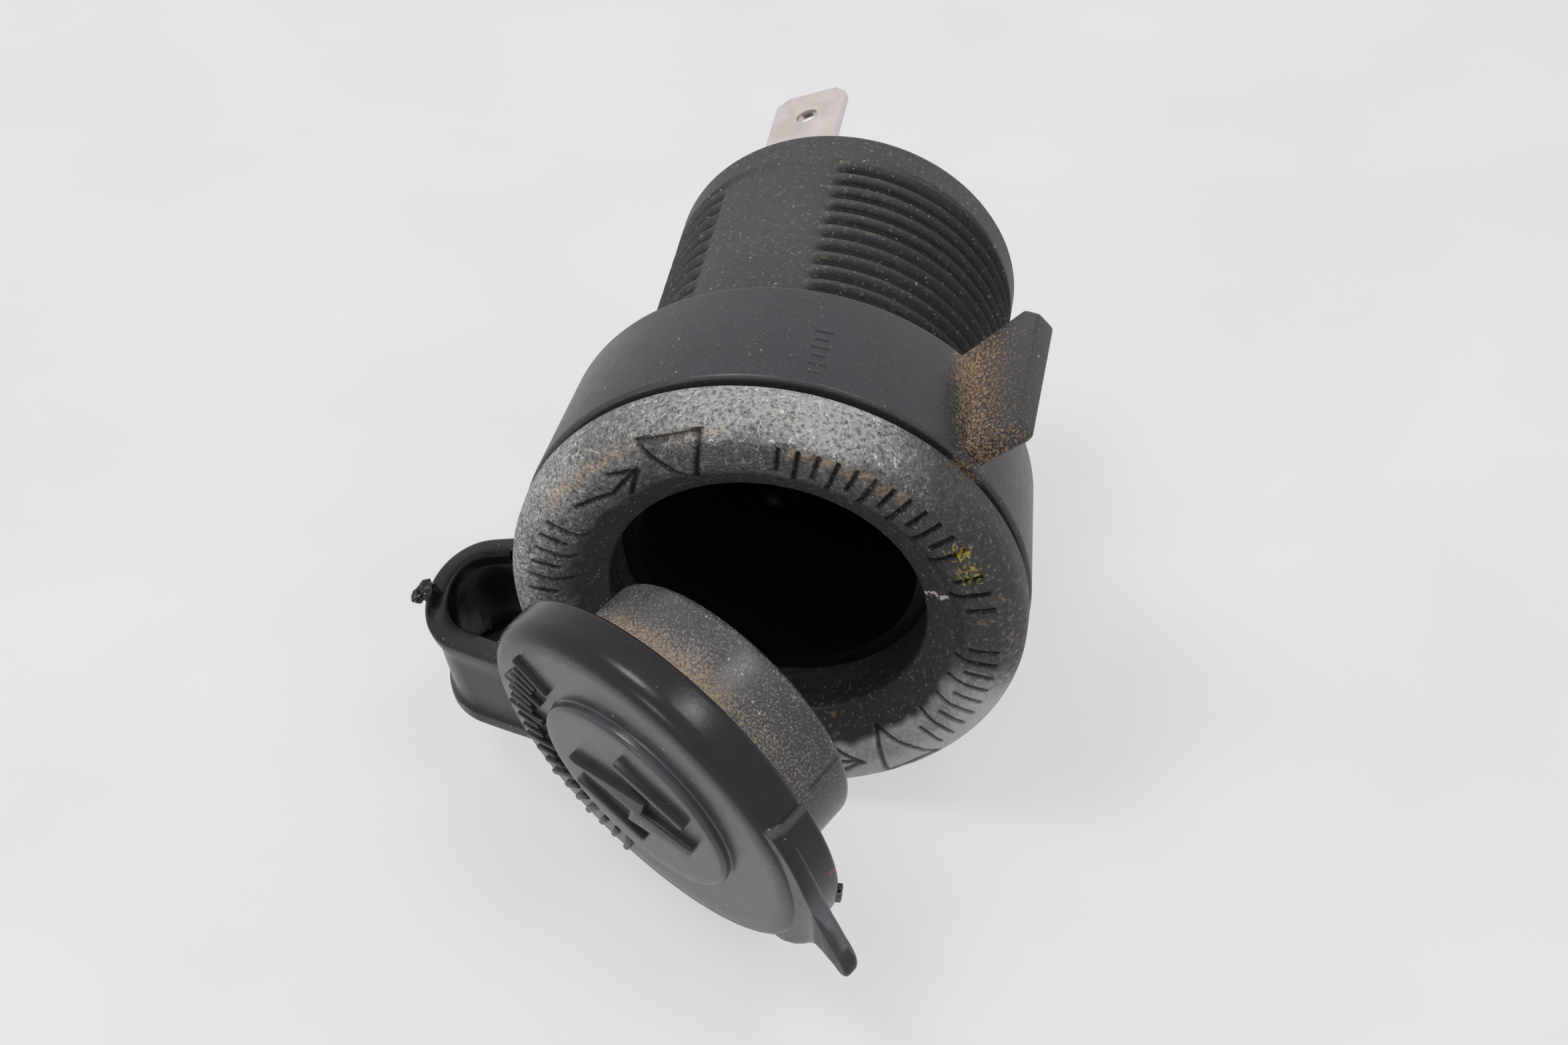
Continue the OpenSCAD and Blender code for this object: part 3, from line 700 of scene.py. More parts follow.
    def notch(self, v, clock):
        """Moves a point of the recess's wall out to the flat pocket behind the outer tab"""
        offset = apart(clock, TAB_CLOCK)
        if abs(offset) > POCKET:
            return
        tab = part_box("outer_terminal")
        radius, _ = polar(v.co)
        along = radius * math.sin(math.radians(offset))
        half = 3.375 * MM
        along = max(-half, min(half, along * 1.105))
        out = at(12.1 * MM, TAB_CLOCK, v.co.y)
        side = at(1, TAB_CLOCK + 90, 0)
        v.co = out + side * along
        v.co.y = min(v.co.y, tab[1].y)

    def execute(self, context):
        sizes = context.scene.socket_body_sizes
        carved = Carving(sizes.stroke / 2)
        bm = bmesh.new()
        self.face(bm, sizes, carved)
        self.barrel(bm, sizes)

        def window(clock, start, full, fade, end):
            """1 from full to fade and 0 outside start and end, by clock angle"""
            turn = (clock + 90) % 360 - 90
            return ease(turn, start, full) * (1 - ease(turn, fade, end))

        # Paleness of the face: dust and rub at the top, left and bottom right, and also painted light on
        # the rim's top and left; the dish keeps the bare black
        def tone(point):
            radius, clock = polar(point)
            if point.y > BACK:
                return 0.05 + 0.03 * noise.noise(point * 150)
            wander = radius + 0.45 * MM * noise.noise(point * 900)
            flat = ease(wander, 13.8 * MM, 14.6 * MM)
            crown = ease(wander, 15.6 * MM, 17.2 * MM)
            level = 0.01 + 0.1 * flat
            edge = ease(wander, 16.9 * MM, 18.3 * MM)
            level += window(clock, 50, 80, 100, 130) * (0.04 * flat + 0.66 * edge)
            level += window(clock, 112, 150, 205, 230) * (0.12 * flat + 0.38 * crown)
            level += window(clock, -90, -62, -20, -5) * (0.52 * flat + 0.55 * crown)
            # Painted shade: the face is painted darker on its right side
            level -= window(clock, -12, 4, 34, 60) * 0.1 * flat
            return level * (1 + 0.35 * noise.noise(point * 240) + 0.2 * noise.noise(point * 700))

        def grain_share(point):
            radius, clock = polar(point)
            if point.y > BACK:
                return 0.12
            smooth = max(window(clock, -92, -70, -18, 0), 0.5 * window(clock, -18, 0, 25, 50))
            return (0.25 + 0.75 * ease(radius, 13.9 * MM, 14.8 * MM)) * (1 - 0.75 * smooth)

        def warm(point):
            radius, clock = polar(point)
            if point.y > BACK:
                return 0.0
            left = window(clock, 112, 126, 146, 160) * math.exp(-((radius - 17.7 * MM) / (0.7 * MM)) ** 2)
            top = window(clock, 94, 101, 110, 119) * math.exp(-((radius - 17.9 * MM) / (0.5 * MM)) ** 2)
            right = window(clock, 46, 58, 78, 90) * math.exp(-((radius - 16.9 * MM) / (0.6 * MM)) ** 2)
            side = 0.3 * window(clock, -20, -5, 10, 24) * ease(radius, 15 * MM, 17 * MM)
            return max(left, top, right, side) * (0.5 + 0.2 * noise.noise(point * 400))

        # Painted shade: the engraved strokes are dark and dust-free with painted shade in them, the
        # thread's grooves get painted shade, and so does the barrel's right side
        def dark_and_painted_shade(point):
            if point.y < FRONT + 2.6 * MM:
                return carved.share(point)
            depth = sizes.crest / 2 - polar(point)[0]
            threaded = (BACK + sizes.neck < point.y < REAR - sizes.collar
                        and depth < sizes.thread_depth + 0.1 * MM)
            shade = 0.75 * (1 - ease(apart(polar(point)[1], 60), -30, 30))
            return max(0.9 * ease(depth, 0.25 * MM, 0.65 * MM), shade) if threaded else 0.0

        def flecks(point):
            radius, _ = polar(point)
            return 0.0 if point.y > BACK else 0.3 * (1 - ease(radius, 13.6 * MM, 15 * MM)) + 0.06

        def fleck(point):
            spot = at(16.8 * MM, 34, FRONT)
            trail = at(16.6 * MM, 27, FRONT)
            near = 1 - ease((point - spot).length, 0.3 * MM, 1.6 * MM)
            return 0.5 * max(near, 0.88 * (1 - ease((point - trail).length, 0.2 * MM, 2 * MM)))

        def chip(point):
            if point.y > BACK or polar(point)[0] > 15 * MM:
                return 0.0
            bends = [at(r * MM, c, 0) for r, c in ((12.1, 15), (12.8, 17.2), (13.1, 15.6), (13.9, 17.8))]
            bends = [Vector((bend.x, bend.z)) for bend in bends]
            near = min(stroke_distance(Vector((point.x, point.z)), pair) for pair in zip(bends, bends[1:]))
            return 0.7 * (1 - ease(near, 0.02 * MM, 0.32 * MM))

        made_piece("moulded_body", bm, "grained_black_moulding",
                   ["socket_body"], "socket",
                   paints={"tone": tone, "grain": grain_share, "warm": warm, "dark_and_painted_shade": dark_and_painted_shade, "specks": flecks,
                           "fleck": fleck, "chip": chip})
        return {"FINISHED"}


class SOCKET_OT_nut(bpy.types.Operator):
    """Models the clamp nut with its two wings"""
    bl_idname = "socket.nut"
    bl_label = "Clamp nut"

    def wing(self, bm, sizes, clock):
        """One wing, with its rear corner cut off and its edges rounded"""
        start = BACK + sizes.gap
        front = start + sizes.wing_set
        nut_rear = start + sizes.long
        rear = nut_rear + sizes.wing_over
        reach = sizes.wing_reach
        inner = sizes.rear / 2 - 1.5 * MM
        shoulder = sizes.bore / 2 + 0.95 * MM
        corner = sizes.wing_corner
        tip = reach - sizes.wing_flare
        side = [(inner, front), (tip - 0.4 * MM, front), (tip, front + 0.4 * MM), (reach, rear - corner),
                (reach - corner, rear), (shoulder, rear - sizes.wing_rise), (shoulder, nut_rear - 1 * MM),
                (inner, nut_rear - 1 * MM)]
        half = at(sizes.wing_thick / 2, clock + 90, 0)
        verts = extruded(bm, [at(r, clock, y) - half for r, y in side], half * 2)
        rounded(bm, verts, sizes.wing_edge, 3)

    def execute(self, context):
        sizes = context.scene.socket_nut_sizes
        start = BACK + sizes.gap
        end = start + sizes.long
        edge = sizes.edge
        bore = sizes.bore / 2
        front = sizes.front / 2
        rear = sizes.rear / 2
        outline = [(bore, start + edge), (bore + edge, start)]
        outline += arc((front - edge, start + edge), edge, -90, 0, 5)
        outline += arc((rear - edge, end - edge), edge, 0, 90, 5)
        outline += [(bore + edge, end), (bore, end - edge)]
        bm = bmesh.new()
        turned(bm, outline, 192)
        clock = math.degrees(sizes.wing_clock)
        for turn in (0, 180):
            self.wing(bm, sizes, clock + turn)
        for i in range(6):
            place = Matrix.Rotation(-math.radians(82), 4, "Y") @ Matrix.Translation(
                (front + (rear - front) * (0.14 + 0.09 * i) + 0.01 * MM, start + (1.5 + 0.97 * i) * MM, 0))
            block(bm, (0.16 * MM, 0.36 * MM, (1.3 if i % 2 else 1.0) * MM), place, 0.05 * MM)

        def soil(point):
            radius, at_clock = polar(point)
            amount = 0.0
            for turn, thick in ((0, 1.0), (180, 0.6)):
                sweep = math.radians(apart(at_clock, clock + turn)) * radius
                if abs(sweep) > 6 * MM:
                    continue
                side = max(abs(sweep) - sizes.wing_thick / 2, 0)
                upper = (sweep > 0) == (turn == 0)
                wide = (1.1 * MM + 1.6 * MM * ease(point.y, start, end)) * (1 if upper else 0.5)
                near = 1 - ease(side, wide * 0.35, wide * 1.2)
                high = radius - sizes.rear / 2
                low = 1 - 0.6 * ease(high, 0.2 * MM, 0.8 * MM) - 0.3 * ease(high, 1.5 * MM, 4.5 * MM)
                amount = max(amount, near * low * thick)
            spot = at(22.6 * MM, clock + 2.4, start + 11.5 * MM)
            top_spot = 1 - ease((point - spot).length, 0.2 * MM, 1 * MM)
            on_front = 1 - ease(abs(point.y - start - sizes.wing_set), 0.1 * MM, 0.5 * MM)
            front = 0.3 * on_front * ease(radius, rear - 0.4 * MM, rear + 0.4 * MM)
            return min(max(amount * 0.68, front) + top_spot * 0.45 + 0.08 * noise.noise(point * 300), 1)

        def dust(point):
            return 0.06 + 0.12 * ease(point.y, end - 1.2 * MM, end)

        made_piece("winged_nut", bm, "satin_black_moulding",
                   ["clamp_nut"], "nut", paints={"soil": soil, "dust": dust})
        return {"FINISHED"}


class SOCKET_OT_cap(bpy.types.Operator):
    """Models the rubber cap: disc, raised centre, hollow plug and pull tab"""
    bl_idname = "socket.cap"
    bl_label = "Rubber cap"

    def disc(self, bm, sizes, face):
        """Disc, boss and hollow plug, turned as one outline"""
        disc = sizes.disc / 2
        boss = sizes.boss / 2
        plug = sizes.plug / 2
        top = face - sizes.boss_high
        back = face + sizes.thick
        end = back + sizes.plug_long
        inner = plug - sizes.plug_wall
        soft = 0.35 * MM
        outline = [(0, top)] + line((1 * MM, top), (boss - soft, top), 8)
        outline += arc((boss - soft, top + soft), soft, -90, 0, 4)
        outline += [(boss, face - 0.12 * MM), (boss + 0.12 * MM, face)]
        outline += line((boss + 0.3 * MM, face), (disc - sizes.rim - 0.15 * MM, face), 6)
        outline += arc((disc - sizes.rim, face + sizes.rim), sizes.rim, -72, 0, 10)
        outline += arc((disc - 0.4 * MM, back - 0.4 * MM), 0.4 * MM, 0, 90, 4)
        outline += [(plug + 0.3 * MM, back), (plug + 0.08 * MM, back + 0.08 * MM), (plug, back + 0.35 * MM)]
        outline += line((plug, back + 1 * MM), (plug - 0.1 * MM, end - 0.7 * MM), 10)
        outline += arc((plug - 0.8 * MM, end - 0.7 * MM), 0.7 * MM, 0, 90, 6)
        outline += arc((inner + 0.4 * MM, end - 0.4 * MM), 0.4 * MM, 90, 180, 3)
        outline += [(inner, end - sizes.hollow + 0.5 * MM), (inner - 0.5 * MM, end - sizes.hollow)]
        outline += [(0, end - sizes.hollow)]
        turned(bm, outline, 224, closed=False)

    def pull_tab(self, bm, sizes, face):
        """Thick root along the rim, and the tongue that leans forward from it"""
        disc = sizes.disc / 2
        clock = CAP_CLOCK + math.degrees(sizes.tab_clock)
        half = math.degrees(sizes.tab_root) / 2
        proud = disc + 0.45 * MM
        fillet = 1.1 * MM
        ledge = face + 0.3 * MM
        back = face + sizes.thick
        outline = [(disc - 3 * MM, ledge)]
        outline += arc((proud - fillet, ledge + fillet), fillet, -90, 0, 7)
        outline += line((proud, ledge + fillet + 0.2 * MM), (proud, back - 0.3 * MM), 7)
        outline += arc((proud - 0.3 * MM, back - 0.3 * MM), 0.3 * MM, 0, 90, 3)
        outline += [(disc - 3 * MM, back)]
        old = set(bm.verts)
        turned(bm, outline, 72, first=clock - half, sweep=half * 2)
        rounded(bm, [v for v in bm.verts if v not in old], 0.35 * MM, 2, over=60)
        self.tongue(bm, sizes, clock, ledge + 0.65 * MM)

    def tongue(self, bm, sizes, clock, depth):
        """The flat tongue, which flares along the whole root and leans forward as it leaves the disc"""
        disc = sizes.disc / 2
        half = sizes.tab_wide / 2
        tip = half - 0.4 * MM
        reach = sizes.tab_reach - disc - tip
        flare = [(-2.3, 8.3), (-1.0, 6.7), (-0.15, 5.3), (0.45, 4.1), (0.95, 3.2), (1.5, 2.5), (2.2, 2.05)]
        side = [(-3.5 * MM, 8.3 * MM)] + [(x * MM, y * MM) for x, y in flare]
        side += [(2.9 * MM, half), (reach * 0.97, tip + 0.05 * MM)]
        edge = side + [(reach + x, y) for x, y in arc((0, 0), tip, 80, -80, 12)]
        edge += [(x, -y) for x, y in reversed(side)]
        old = set(bm.verts)
        thick = sizes.tab_thick
        verts = extruded(bm, [Vector((x, -thick / 2, y)) for x, y in edge], Vector((0, thick, 0)))
        rounded(bm, verts, 0.42 * MM, 4, over=50)
        for i in range(12):
            cut = (-2.5 + 0.6 * i) * MM
            made = [v for v in bm.verts if v not in old]
            parts = made + list({e for v in made for e in v.link_edges})
            parts += list({f for v in made for f in v.link_faces})
            bmesh.ops.bisect_plane(bm, geom=parts, plane_co=(cut, 0, 0), plane_no=(1, 0, 0))
        place = Matrix.Rotation(-math.radians(clock), 4, "Y") @ Matrix.Translation((disc, depth, 0))
        made = [v for v in bm.verts if v not in old]
        bmesh.ops.transform(bm, matrix=place, verts=made)
        for v in made:
            v.co.y -= max(polar(v.co)[0] - disc, 0) * math.tan(sizes.tab_lean)

    def marks(self, bm, sizes, face):
        """Plain raised ribs round the disc, and a plain bolt between two bars on the raised centre"""
        top = face - sizes.boss_high
        for i in range(19):
            turn = Matrix.Rotation(-math.radians(CAP_CLOCK - 54 + 6 * i), 4, "Y")
            wide = (2.2 if i % 3 else 3.4) * MM
            place = turn @ Matrix.Translation(((11.1 if i % 3 else 10.9) * MM, face, 0))
            block(bm, (wide, 0.9 * MM, 0.5 * MM), place, 0.15 * MM)
        bolt = [(0.4, 5.6), (-2.6, 0.3), (-0.6, 0.3), (-1.6, -5.6), (2.6, 1.2), (0.5, 1.2), (2.2, 5.6)]
        turn = Matrix.Rotation(-math.radians(CAP_CLOCK + 142), 4, "Y")
        points = [turn @ Vector((z * MM, top + 0.2 * MM, x * MM)) for x, z in bolt]
        verts = extruded(bm, points, Vector((0, -0.8 * MM, 0)))
        rounded(bm, verts, 0.18 * MM, 3, over=50)
        for side in (-1, 1):
            place = turn @ Matrix.Translation((side * 1.2 * MM, top, side * 4.3 * MM))
            block(bm, (6.4 * MM, 1.1 * MM, 0.9 * MM), place, 0.18 * MM)

    def torn(self, bm, sizes, face):
        """Torn crumbs of rubber at the root of the pull tab"""
        clock = CAP_CLOCK + 150
        spot = at(sizes.disc / 2 + 0.2 * MM, clock, face + sizes.thick)
        turn = Matrix.Rotation(-math.radians(clock), 4, "Y")
        lump(bm, Matrix.Translation(spot) @ turn, (0.45 * MM, 0.35 * MM, 1.1 * MM), 0.7, 3)
        spot = at(sizes.disc / 2 + 0.3 * MM, clock - 5, face + sizes.thick + 0.1 * MM)
        lump(bm, Matrix.Translation(spot) @ turn, (0.3 * MM, 0.3 * MM, 0.6 * MM), 0.8, 8)

    def execute(self, context):
        sizes = context.scene.socket_cap_sizes
        face = FRONT - sizes.seat - sizes.thick
        back = face + sizes.thick
        bm = bmesh.new()
        self.disc(bm, sizes, face)
        self.pull_tab(bm, sizes, face)
        self.marks(bm, sizes, face)
        self.torn(bm, sizes, face)

        def on_plug(point):
            return ease(point.y, back - 0.1 * MM, back + 0.2 * MM)

        def upper(point):
            return 0.5 + 0.5 * math.cos(math.radians(apart(polar(point)[1], CAP_CLOCK - 90)))

        def dust(point):
            near = 1 - ease(point.y, back + 0.8 * MM, back + 4.5 * MM)
            patch = 0.1 * noise.noise(point * 300)
            end_ring = 0.05 * ease(point.y, back + 5 * MM, back + 6 * MM)
            return on_plug(point) * (0.2 + 0.42 * near * upper(point) ** 2 + end_ring + patch)

        def tan(point):
            near = 1 - ease(point.y, back + 0.8 * MM, back + 4 * MM)
            return on_plug(point) * near * ease(upper(point), 0.5, 1)

        # Painted reflection on the flat face and the tongue, painted light on the plug's upper side, and a
        # painted highlight with some dust on the end wall of the tab's root
        def haze_and_painted_light(point):
            radius, clock = polar(point)
            rim = sizes.disc / 2 - sizes.rim
            face_share = (1 - ease(point.y, face + 0.02 * MM, face + 0.4 * MM)) * 0.5
            face_share *= 1 - ease(radius, rim - 0.6 * MM, rim + 0.2 * MM)
            face_share += 0.85 * ease(radius, sizes.disc / 2 + 0.8 * MM, sizes.disc / 2 + 1.6 * MM)
            end = CAP_CLOCK + math.degrees(sizes.tab_clock + sizes.tab_root / 2)
            dust_and_light_edge = abs(apart(clock, end)) < 1 and sizes.disc / 2 - 0.3 * MM < radius and point.y < back
            return max(on_plug(point) * 0.6 * upper(point) ** 1.5, face_share, 0.9 if dust_and_light_edge else 0.0)

        def speck_share(point):
            return 0.06 + 0.2 * on_plug(point)

        def stain(point):
            spot = at(sizes.disc / 2 + 0.45 * MM, CAP_CLOCK + 166, back - 0.5 * MM)
            return 0.75 * (1 - ease((point - spot).length, 0.2 * MM, 0.55 * MM))

        def dark_and_painted_shade(point):
            radius, clock = polar(point)
            raised = point.y < face - 0.15 * MM and radius > sizes.boss / 2 + 0.5 * MM
            sign = point.y < face - sizes.boss_high - 0.3 * MM
            seam = abs(apart(clock, CAP_CLOCK + 178)) < 0.9 and point.y > back + 2.5 * MM
            # Painted shade on the rim; the raised ribs, sign and seam are painted darker
            rim = sizes.disc / 2 - sizes.rim
            rim_shade = 0.3 * ease(radius, rim, rim + 0.5 * MM)
            rim_shade *= 1 - ease(radius, rim + sizes.rim + 0.6 * MM, 16 * MM)
            return 0.55 if raised or sign or (seam and radius > sizes.plug / 2 - 0.3 * MM) else rim_shade

        made_piece("rubber_cap", bm, "soft_black_rubber", ["cap"], "cap",
                   paints={"dust": dust, "tan": tan, "haze_and_painted_light": haze_and_painted_light, "specks": speck_share, "stain": stain,
                           "dark_and_painted_shade": dark_and_painted_shade}, place=HANG)
        return {"FINISHED"}


class SOCKET_OT_strap(bpy.types.Operator):
    """Models the rubber strap that bends from the ring to the cap, and finishes the ring"""
    bl_idname = "socket.strap"
    bl_label = "Rubber strap"

    def section(self, sizes):
        """Outline across the strap: a flat web with a round bead along each edge"""
        half = sizes.wide / 2
        web = sizes.thick / 2
        bead = sizes.bead / 2
        soft = 0.3 * MM
        inner = half - sizes.bead_wide
        quarter = [(0, web), (inner * 0.5, web), (inner - 0.3 * MM, web)]
        quarter += [(inner - 0.05 * MM, web + 0.1 * MM), (inner + 0.15 * MM, bead - 0.08 * MM)]
        quarter += arc((half - soft, bead - soft), soft, 90, 0, 4)
        upper = quarter + [(half, 0)]
        right = upper + [(x, -y) for x, y in reversed(quarter)]
        return right + [(-x, y) for x, y in reversed(right[1:-1])]

    def bend_middle(self, sizes):
        """Middle of the bend, as radius and depth"""
        root = sizes_of_flange() / 2 + sizes.gap
        return Vector((root + sizes.run, BACK + sizes.thick / 2 - sizes.bend))

    def route(self, sizes, cap_sizes):
        """Route of the strap in the plane of radius and depth: stations, each a point and a direction"""
        root = sizes_of_flange() / 2 + sizes.gap
        centre = self.bend_middle(sizes)
        face = FRONT - cap_sizes.seat - cap_sizes.thick
        closed = at(cap_sizes.disc / 2, CAP_CLOCK, face + sizes.root)
        hung = HANG @ closed
        radius, _ = polar(hung)
        to_rim = Vector((radius, hung.y)) - centre
        leave = math.atan2(to_rim.y, to_rim.x) + math.acos(sizes.bend / to_rim.length)
        leg = math.sqrt(to_rim.length_squared - sizes.bend ** 2)
        stations = [(Vector((root, BACK + sizes.thick / 2)), Vector((1, 0)))]
        steps = 64
        for i in range(steps + 1):
            turn = math.pi / 2 + (leave - math.pi / 2) * i / steps
            out = Vector((math.cos(turn), math.sin(turn)))
            stations.append((centre + out * sizes.bend, Vector((out.y, -out.x))))
        last, onward = stations[-1]
        stations += [(last + onward * (leg + 1.3 * MM) * i / 16, onward) for i in range(1, 17)]
        return stations

    def execute(self, context):
        sizes = context.scene.socket_strap_sizes
        cap_sizes = context.scene.socket_cap_sizes
        stations = self.route(sizes, cap_sizes)
        section = self.section(sizes)
        root_clock = math.degrees(sizes.root_clock)
        bm = bmesh.new()
        verts = [bm.verts.new((across, off, 0)) for across, off in section]
        face = bm.faces.new(verts)
        made = bmesh.ops.spin(bm, geom=[face], cent=(0, 0, 0), axis=(0, 0, 1), dvec=(0, 0, 1), angle=0,
                              steps=len(stations) - 1, use_merge=False, use_duplicate=False)
        if not made["geom_last"]:
            raise RuntimeError("the strap was not drawn out")
        for v in bm.verts:
            step = round(v.co.z)
            point, onward = stations[step]
            share = step / (len(stations) - 1)
            clock = root_clock + (CAP_CLOCK - root_clock) * ease(share, 0.05, 0.95)
            outward = Vector((-onward.y, onward.x))
            place = point - outward * v.co.y
            splay = math.degrees(sizes.flare) * math.sin(math.pi * share)
            upper = at(place.x, clock, place.y) - at(sizes.wide / 2, clock + 90, 0)
            v.co = upper + at(v.co.x + sizes.wide / 2, clock + 90 - splay, 0)
        self.nub(bm, stations, sizes, root_clock)

        middle = self.bend_middle(sizes)

        def dust(point):
            radius, _ = polar(point)
            return 0.14 * (1 - ease(radius, 19 * MM, 22 * MM))

        # Painted shade inside the bend; elsewhere the strap is painted a little darker all over
        def dark_and_painted_shade(point):
            inside = (Vector((polar(point)[0], point.y)) - middle).length < sizes.bend - 0.05 * MM
            return 0.75 if inside else 0.3

        strap = made_piece(
            "rubber_strap", bm, "soft_black_rubber", ["cap_strap"], None,
            paints={"dust": dust, "specks": lambda point: 0.08, "dark_and_painted_shade": dark_and_painted_shade})
        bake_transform(strap)
        self.band(sizes, root_clock)
        return {"FINISHED"}

    def band(self, sizes, clock):
        """The thin ring behind the flange, with the tongue that the strap grows from"""
        hole = context_body_sizes().crest / 2 + 0.35 * MM
        out = sizes.ring_out / 2
        back = BACK + sizes.ring_thick
        bm = bmesh.new()
        turned(bm, [(hole, BACK), (out, BACK), (out, back), (hole, back)], 160)
        tip = sizes_of_flange() / 2 + sizes.gap + 0.3 * MM
        middle = at((out + tip) / 2 - 0.5 * MM, clock, (BACK + back) / 2)
        place = Matrix.Translation(middle) @ Matrix.Rotation(-math.radians(clock), 4, "Y")
        block(bm, (tip - out + 1 * MM, sizes.ring_thick, sizes.wide), place, 0.05 * MM)
        made_piece("strap_band", bm, "soft_black_rubber",
                   ["strap_ring"], "socket", paints={"dust": lambda point: 0.1})

    def nub(self, bm, stations, sizes, clock):
        """Torn stub on the upper edge of the bend"""
        point, onward = stations[40]
        outward = Vector((-onward.y, onward.x))
        spot = point + outward * 0.6 * MM
        place = at(spot.x, clock, spot.y) + at(-sizes.wide / 2 + 0.3 * MM, clock + 90, 0)
        lump(bm, Matrix.Translation(place), (0.7 * MM, 0.85 * MM, 0.55 * MM), 0.5, 5)
        beside = place + at(0.5 * MM, clock, -0.7 * MM)
        lump(bm, Matrix.Translation(beside), (0.5 * MM, 0.5 * MM, 0.5 * MM), 0.7, 9)


def sizes_of_flange():
    """Diameter of the flange, from the frame"""
    return BODY_BOX[1].x - BODY_BOX[0].x


def context_body_sizes():
    """Sizes of the moulded body, as set in the scene"""
    return bpy.context.scene.socket_body_sizes


class SOCKET_OT_metal(bpy.types.Operator):
    """Softens the edges of the metal pieces and gives them and the board their finish"""
    bl_idname = "socket.metal"
    bl_label = "Metal pieces"

    pieces = (
        ("outer_terminal", "outer_tab", "tinned_brass", "tab_plating", 0.1),
        ("centre_terminal", "centre_tab", "tinned_brass", "tab_plating", 0.1),
        ("terminal_rivet", "tab_rivet", "plain_brass", "contact_brass", 0.12),
        ("centre_contact", "tip_contact", "plain_brass", "contact_brass", 0.1),
        ("stud_nut", "hex_nut", "plain_brass", "contact_brass", 0.15),
        ("stud_washer", "flat_washer", "plated_steel", "washer_steel", 0.1),
        ("stud_lock_washer", "spring_washer", "spring_steel", "spring_steel", 0.08),
    )

    def execute(self, context):
        for node, name, finish, slot, edge in self.pieces:
            bm = bmesh.new()
            bm.from_mesh(frame["nodes"][node].data)
            bmesh.ops.remove_doubles(bm, verts=bm.verts, dist=1e-6)
            bmesh.ops.dissolve_limit(
                bm, angle_limit=math.radians(0.5), verts=bm.verts, edges=bm.edges,
                use_dissolve_boundaries=False)
            rounded(bm, list(bm.verts), edge * MM, 2, over=35)
            made_piece(name, bm, finish, [node], "socket", sharp=30)
        for node, finish in (("contact_shell", "blackened_steel"), ("grip_spring", "blackened_steel"),
                             ("contact_insulator", "brown_insulating_board")):
            holder = frame["nodes"][node]
            holder.data.materials.clear()
            holder.data.materials.append(bpy.data.materials[finish])
        return {"FINISHED"}


class SOCKET_OT_finishes(bpy.types.Operator):
    """Makes the materials of every piece"""
    bl_idname = "socket.finishes"
    bl_label = "Finishes"

    def execute(self, context):
        finishes = context.scene.socket_finishes
        grained_moulding(finishes)
        satin_moulding(finishes)
        soft_rubber(finishes)
        insulating_board(finishes)
        # Tinned brass strip: pale and slightly warm, rolled along its length
        worn_metal("tinned_brass", finishes.tab, linear("#bcb0a8"), 0.28, 0.5, stretch=(1, 0.12, 1))
        # Turned brass: yellow, with fine turning marks
        worn_metal("plain_brass", finishes.brass, linear("#80653a"), 0.24, 0.42, stretch=(0.3, 2, 0.3))
        # Zinc-plated steel: cool grey and even
        worn_metal("plated_steel", finishes.steel, linear("#85888b"), 0.26, 0.44)
        # Blued spring steel: darker than the plating
        worn_metal("spring_steel", linear("#7f8184"), linear("#57585a"), 0.3, 0.5)
        # Blackened deep-drawn steel: nearly black, with a dull shine at its lip
        worn_metal("blackened_steel", finishes.shell, linear("#1d1a16"), 0.42, 0.6, metallic=0.7)
        return {"FINISHED"}


class StageSizes(bpy.types.PropertyGroup):
    """Floor, lamps and camera"""
    floor_colour: colour("Floor", "Colour of the white table", "#e7e6e8")
    floor_white: FloatProperty(
        name="Floor white", description="Share of the table's colour that shows without shadow",
        default=0.7, min=0, max=1)
    world_level: FloatProperty(
        name="Room light", description="Level of the even room light", default=0.62, min=0)
    key_power: power("Key lamp", "Power of the large lamp", 0.85)
    sky_power: power("Sky lamp", "Power of the lamp overhead", 0.3)
    window_power: power("Window", "Power of the low window in front", 0.16)
    camera_lens: FloatProperty(
        name="Lens", description="Focal length on a 36 mm sensor", default=53.571, min=1)
    camera_down: angle("Camera down", "Angle by which the camera looks down", 44.16)
    camera_turn: angle("Camera turn", "Angle of the camera round the vertical", 9.667)


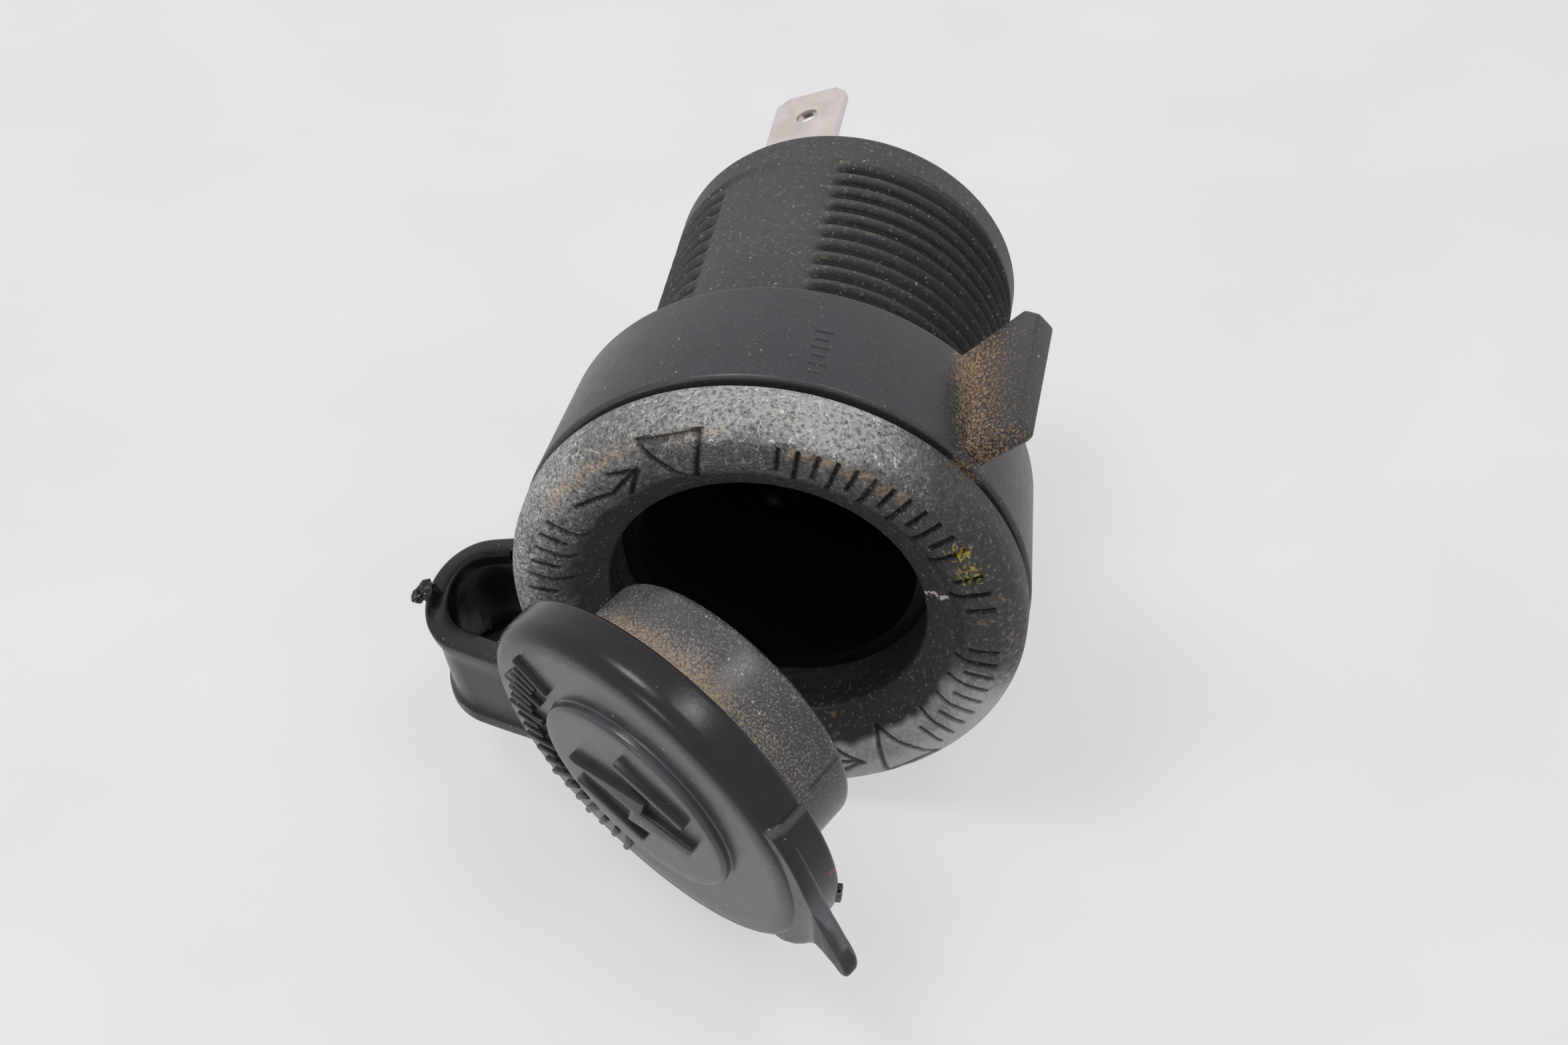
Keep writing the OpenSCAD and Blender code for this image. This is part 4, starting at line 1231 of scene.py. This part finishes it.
class SOCKET_OT_stage(bpy.types.Operator):
    """Sets the white table, soft lamps and the camera"""
    bl_idname = "socket.stage"
    bl_label = "Stage"

    def lamp(self, name, place, target, size, power):
        data = bpy.data.lights.new(name, "AREA")
        data.shape = "DISK"
        data.size = size
        data.energy = power
        lamp = bpy.data.objects.new(name, data)
        lamp.location = place
        lamp.rotation_euler = (Vector(target) - Vector(place)).to_track_quat("-Z", "Y").to_euler()
        bpy.context.scene.collection.objects.link(lamp)

    def shown_to_eye(self, tree):
        """1 for rays that come from the camera, a gloss or a glass, and 0 for the light itself"""
        rays = add_node(tree, "ShaderNodeLightPath")
        seen = maths(tree, "MAXIMUM", rays.outputs["Is Camera Ray"], rays.outputs["Is Glossy Ray"])
        return maths(tree, "MAXIMUM", seen, rays.outputs["Is Transmission Ray"])

    def room(self, settings):
        world = bpy.data.worlds.new("room")
        bpy.context.scene.world = world
        world.use_nodes = True
        tree = world.node_tree
        tree.nodes.clear()
        light = add_node(tree, "ShaderNodeBackground", {
            "Color": (*linear("#ffffff"), 1), "Strength": settings.world_level})
        seen = add_node(tree, "ShaderNodeBackground", {"Color": (*linear("#e6e5e7"), 1), "Strength": 1.0})
        mix = add_node(tree, "ShaderNodeMixShader", {
            0: self.shown_to_eye(tree), 1: light.outputs[0], 2: seen.outputs[0]})
        add_node(tree, "ShaderNodeOutputWorld", {"Surface": mix.outputs[0]})

    def table(self, settings):
        low = min(CAD_BOX[0][2], NUT_BOX[0].z) - 0.02 * MM
        bm = bmesh.new()
        place = Matrix.Translation((0, 0, low))
        bmesh.ops.create_grid(bm, x_segments=1, y_segments=1, size=3, matrix=place)
        mesh = bpy.data.meshes.new("table")
        bm.to_mesh(mesh)
        bm.free()
        material, tree, shader = new_material("white_laminate")
        shader.inputs["Roughness"].default_value = 0.6
        cloudy = grain(tree, 30 * MM, 3, 0.5)
        tone = blended(
            tree, spread(tree, cloudy, 0.3, 0.7), tuple(settings.floor_colour), linear("#e2e2e4"))
        feed(shader, "Base Color", tone)
        # Seen by the eye, most of the table's white is its own colour, and the rest keeps the soft shadow
        white = add_node(tree, "ShaderNodeEmission", {"Color": tone, "Strength": 1.0})
        share = times(tree, self.shown_to_eye(tree), settings.floor_white)
        mix = add_node(tree, "ShaderNodeMixShader", {0: share, 1: shader.outputs[0], 2: white.outputs[0]})
        surface = next(node for node in tree.nodes if node.type == "OUTPUT_MATERIAL").inputs["Surface"]
        tree.links.new(mix.outputs[0], surface)
        mesh.materials.append(material)
        table = bpy.data.objects.new("table", mesh)
        bpy.context.scene.collection.objects.link(table)

    def execute(self, context):
        settings = context.scene.socket_stage
        scene = context.scene
        data = bpy.data.cameras.new("camera")
        data.lens = settings.camera_lens
        data.sensor_width = 36
        data.clip_start = 0.005
        camera = bpy.data.objects.new("camera", data)
        camera.location = Vector((21.05, -119.58, 122.58)) * MM
        camera.rotation_euler = (math.pi / 2 - settings.camera_down, 0, settings.camera_turn)
        scene.collection.objects.link(camera)
        scene.camera = camera
        self.room(settings)
        self.table(settings)
        self.lamp("key_lamp", (-0.2, -0.06, 0.48), (0, 0, 0), 0.2, settings.key_power)
        self.lamp("window", (-0.3, -0.39, 0.13), (0, 0, 0), 0.1, settings.window_power)
        self.lamp("sky_lamp", (0.16, -0.04, 0.47), (0, 0, 0), 0.12, settings.sky_power)
        scene.view_settings.view_transform = "Standard"
        return {"FINISHED"}


class SOCKET_PT_panel(bpy.types.Panel):
    """Sizes, finishes and steps of the panel socket"""
    bl_idname = "SOCKET_PT_panel"
    bl_label = "Panel socket"
    bl_space_type = "VIEW_3D"
    bl_region_type = "UI"
    bl_category = "Socket"

    def draw(self, context):
        for operator in OPERATORS:
            self.layout.operator(operator.bl_idname)
        for name, group in GROUPS.items():
            box = self.layout.box()
            box.label(text=group.__doc__)
            for field in group.__annotations__:
                box.prop(getattr(context.scene, name), field)


OPERATORS = (SOCKET_OT_finishes, SOCKET_OT_body, SOCKET_OT_nut, SOCKET_OT_cap, SOCKET_OT_strap,
             SOCKET_OT_metal, SOCKET_OT_stage)
GROUPS = {
    "socket_body_sizes": BodySizes,
    "socket_nut_sizes": NutSizes,
    "socket_cap_sizes": CapSizes,
    "socket_strap_sizes": StrapSizes,
    "socket_finishes": Finishes,
    "socket_stage": StageSizes,
}


def register():
    for item in (*GROUPS.values(), *OPERATORS, SOCKET_PT_panel):
        bpy.utils.register_class(item)
    for name, group in GROUPS.items():
        setattr(bpy.types.Scene, name, PointerProperty(type=group))


def unregister():
    for name in GROUPS:
        delattr(bpy.types.Scene, name)
    for item in reversed((*GROUPS.values(), *OPERATORS, SOCKET_PT_panel)):
        bpy.utils.unregister_class(item)


def main():
    register()
    for operator in OPERATORS:
        getattr(bpy.ops.socket, operator.bl_idname.split(".")[1])()


if __name__ == "__main__":
    main()
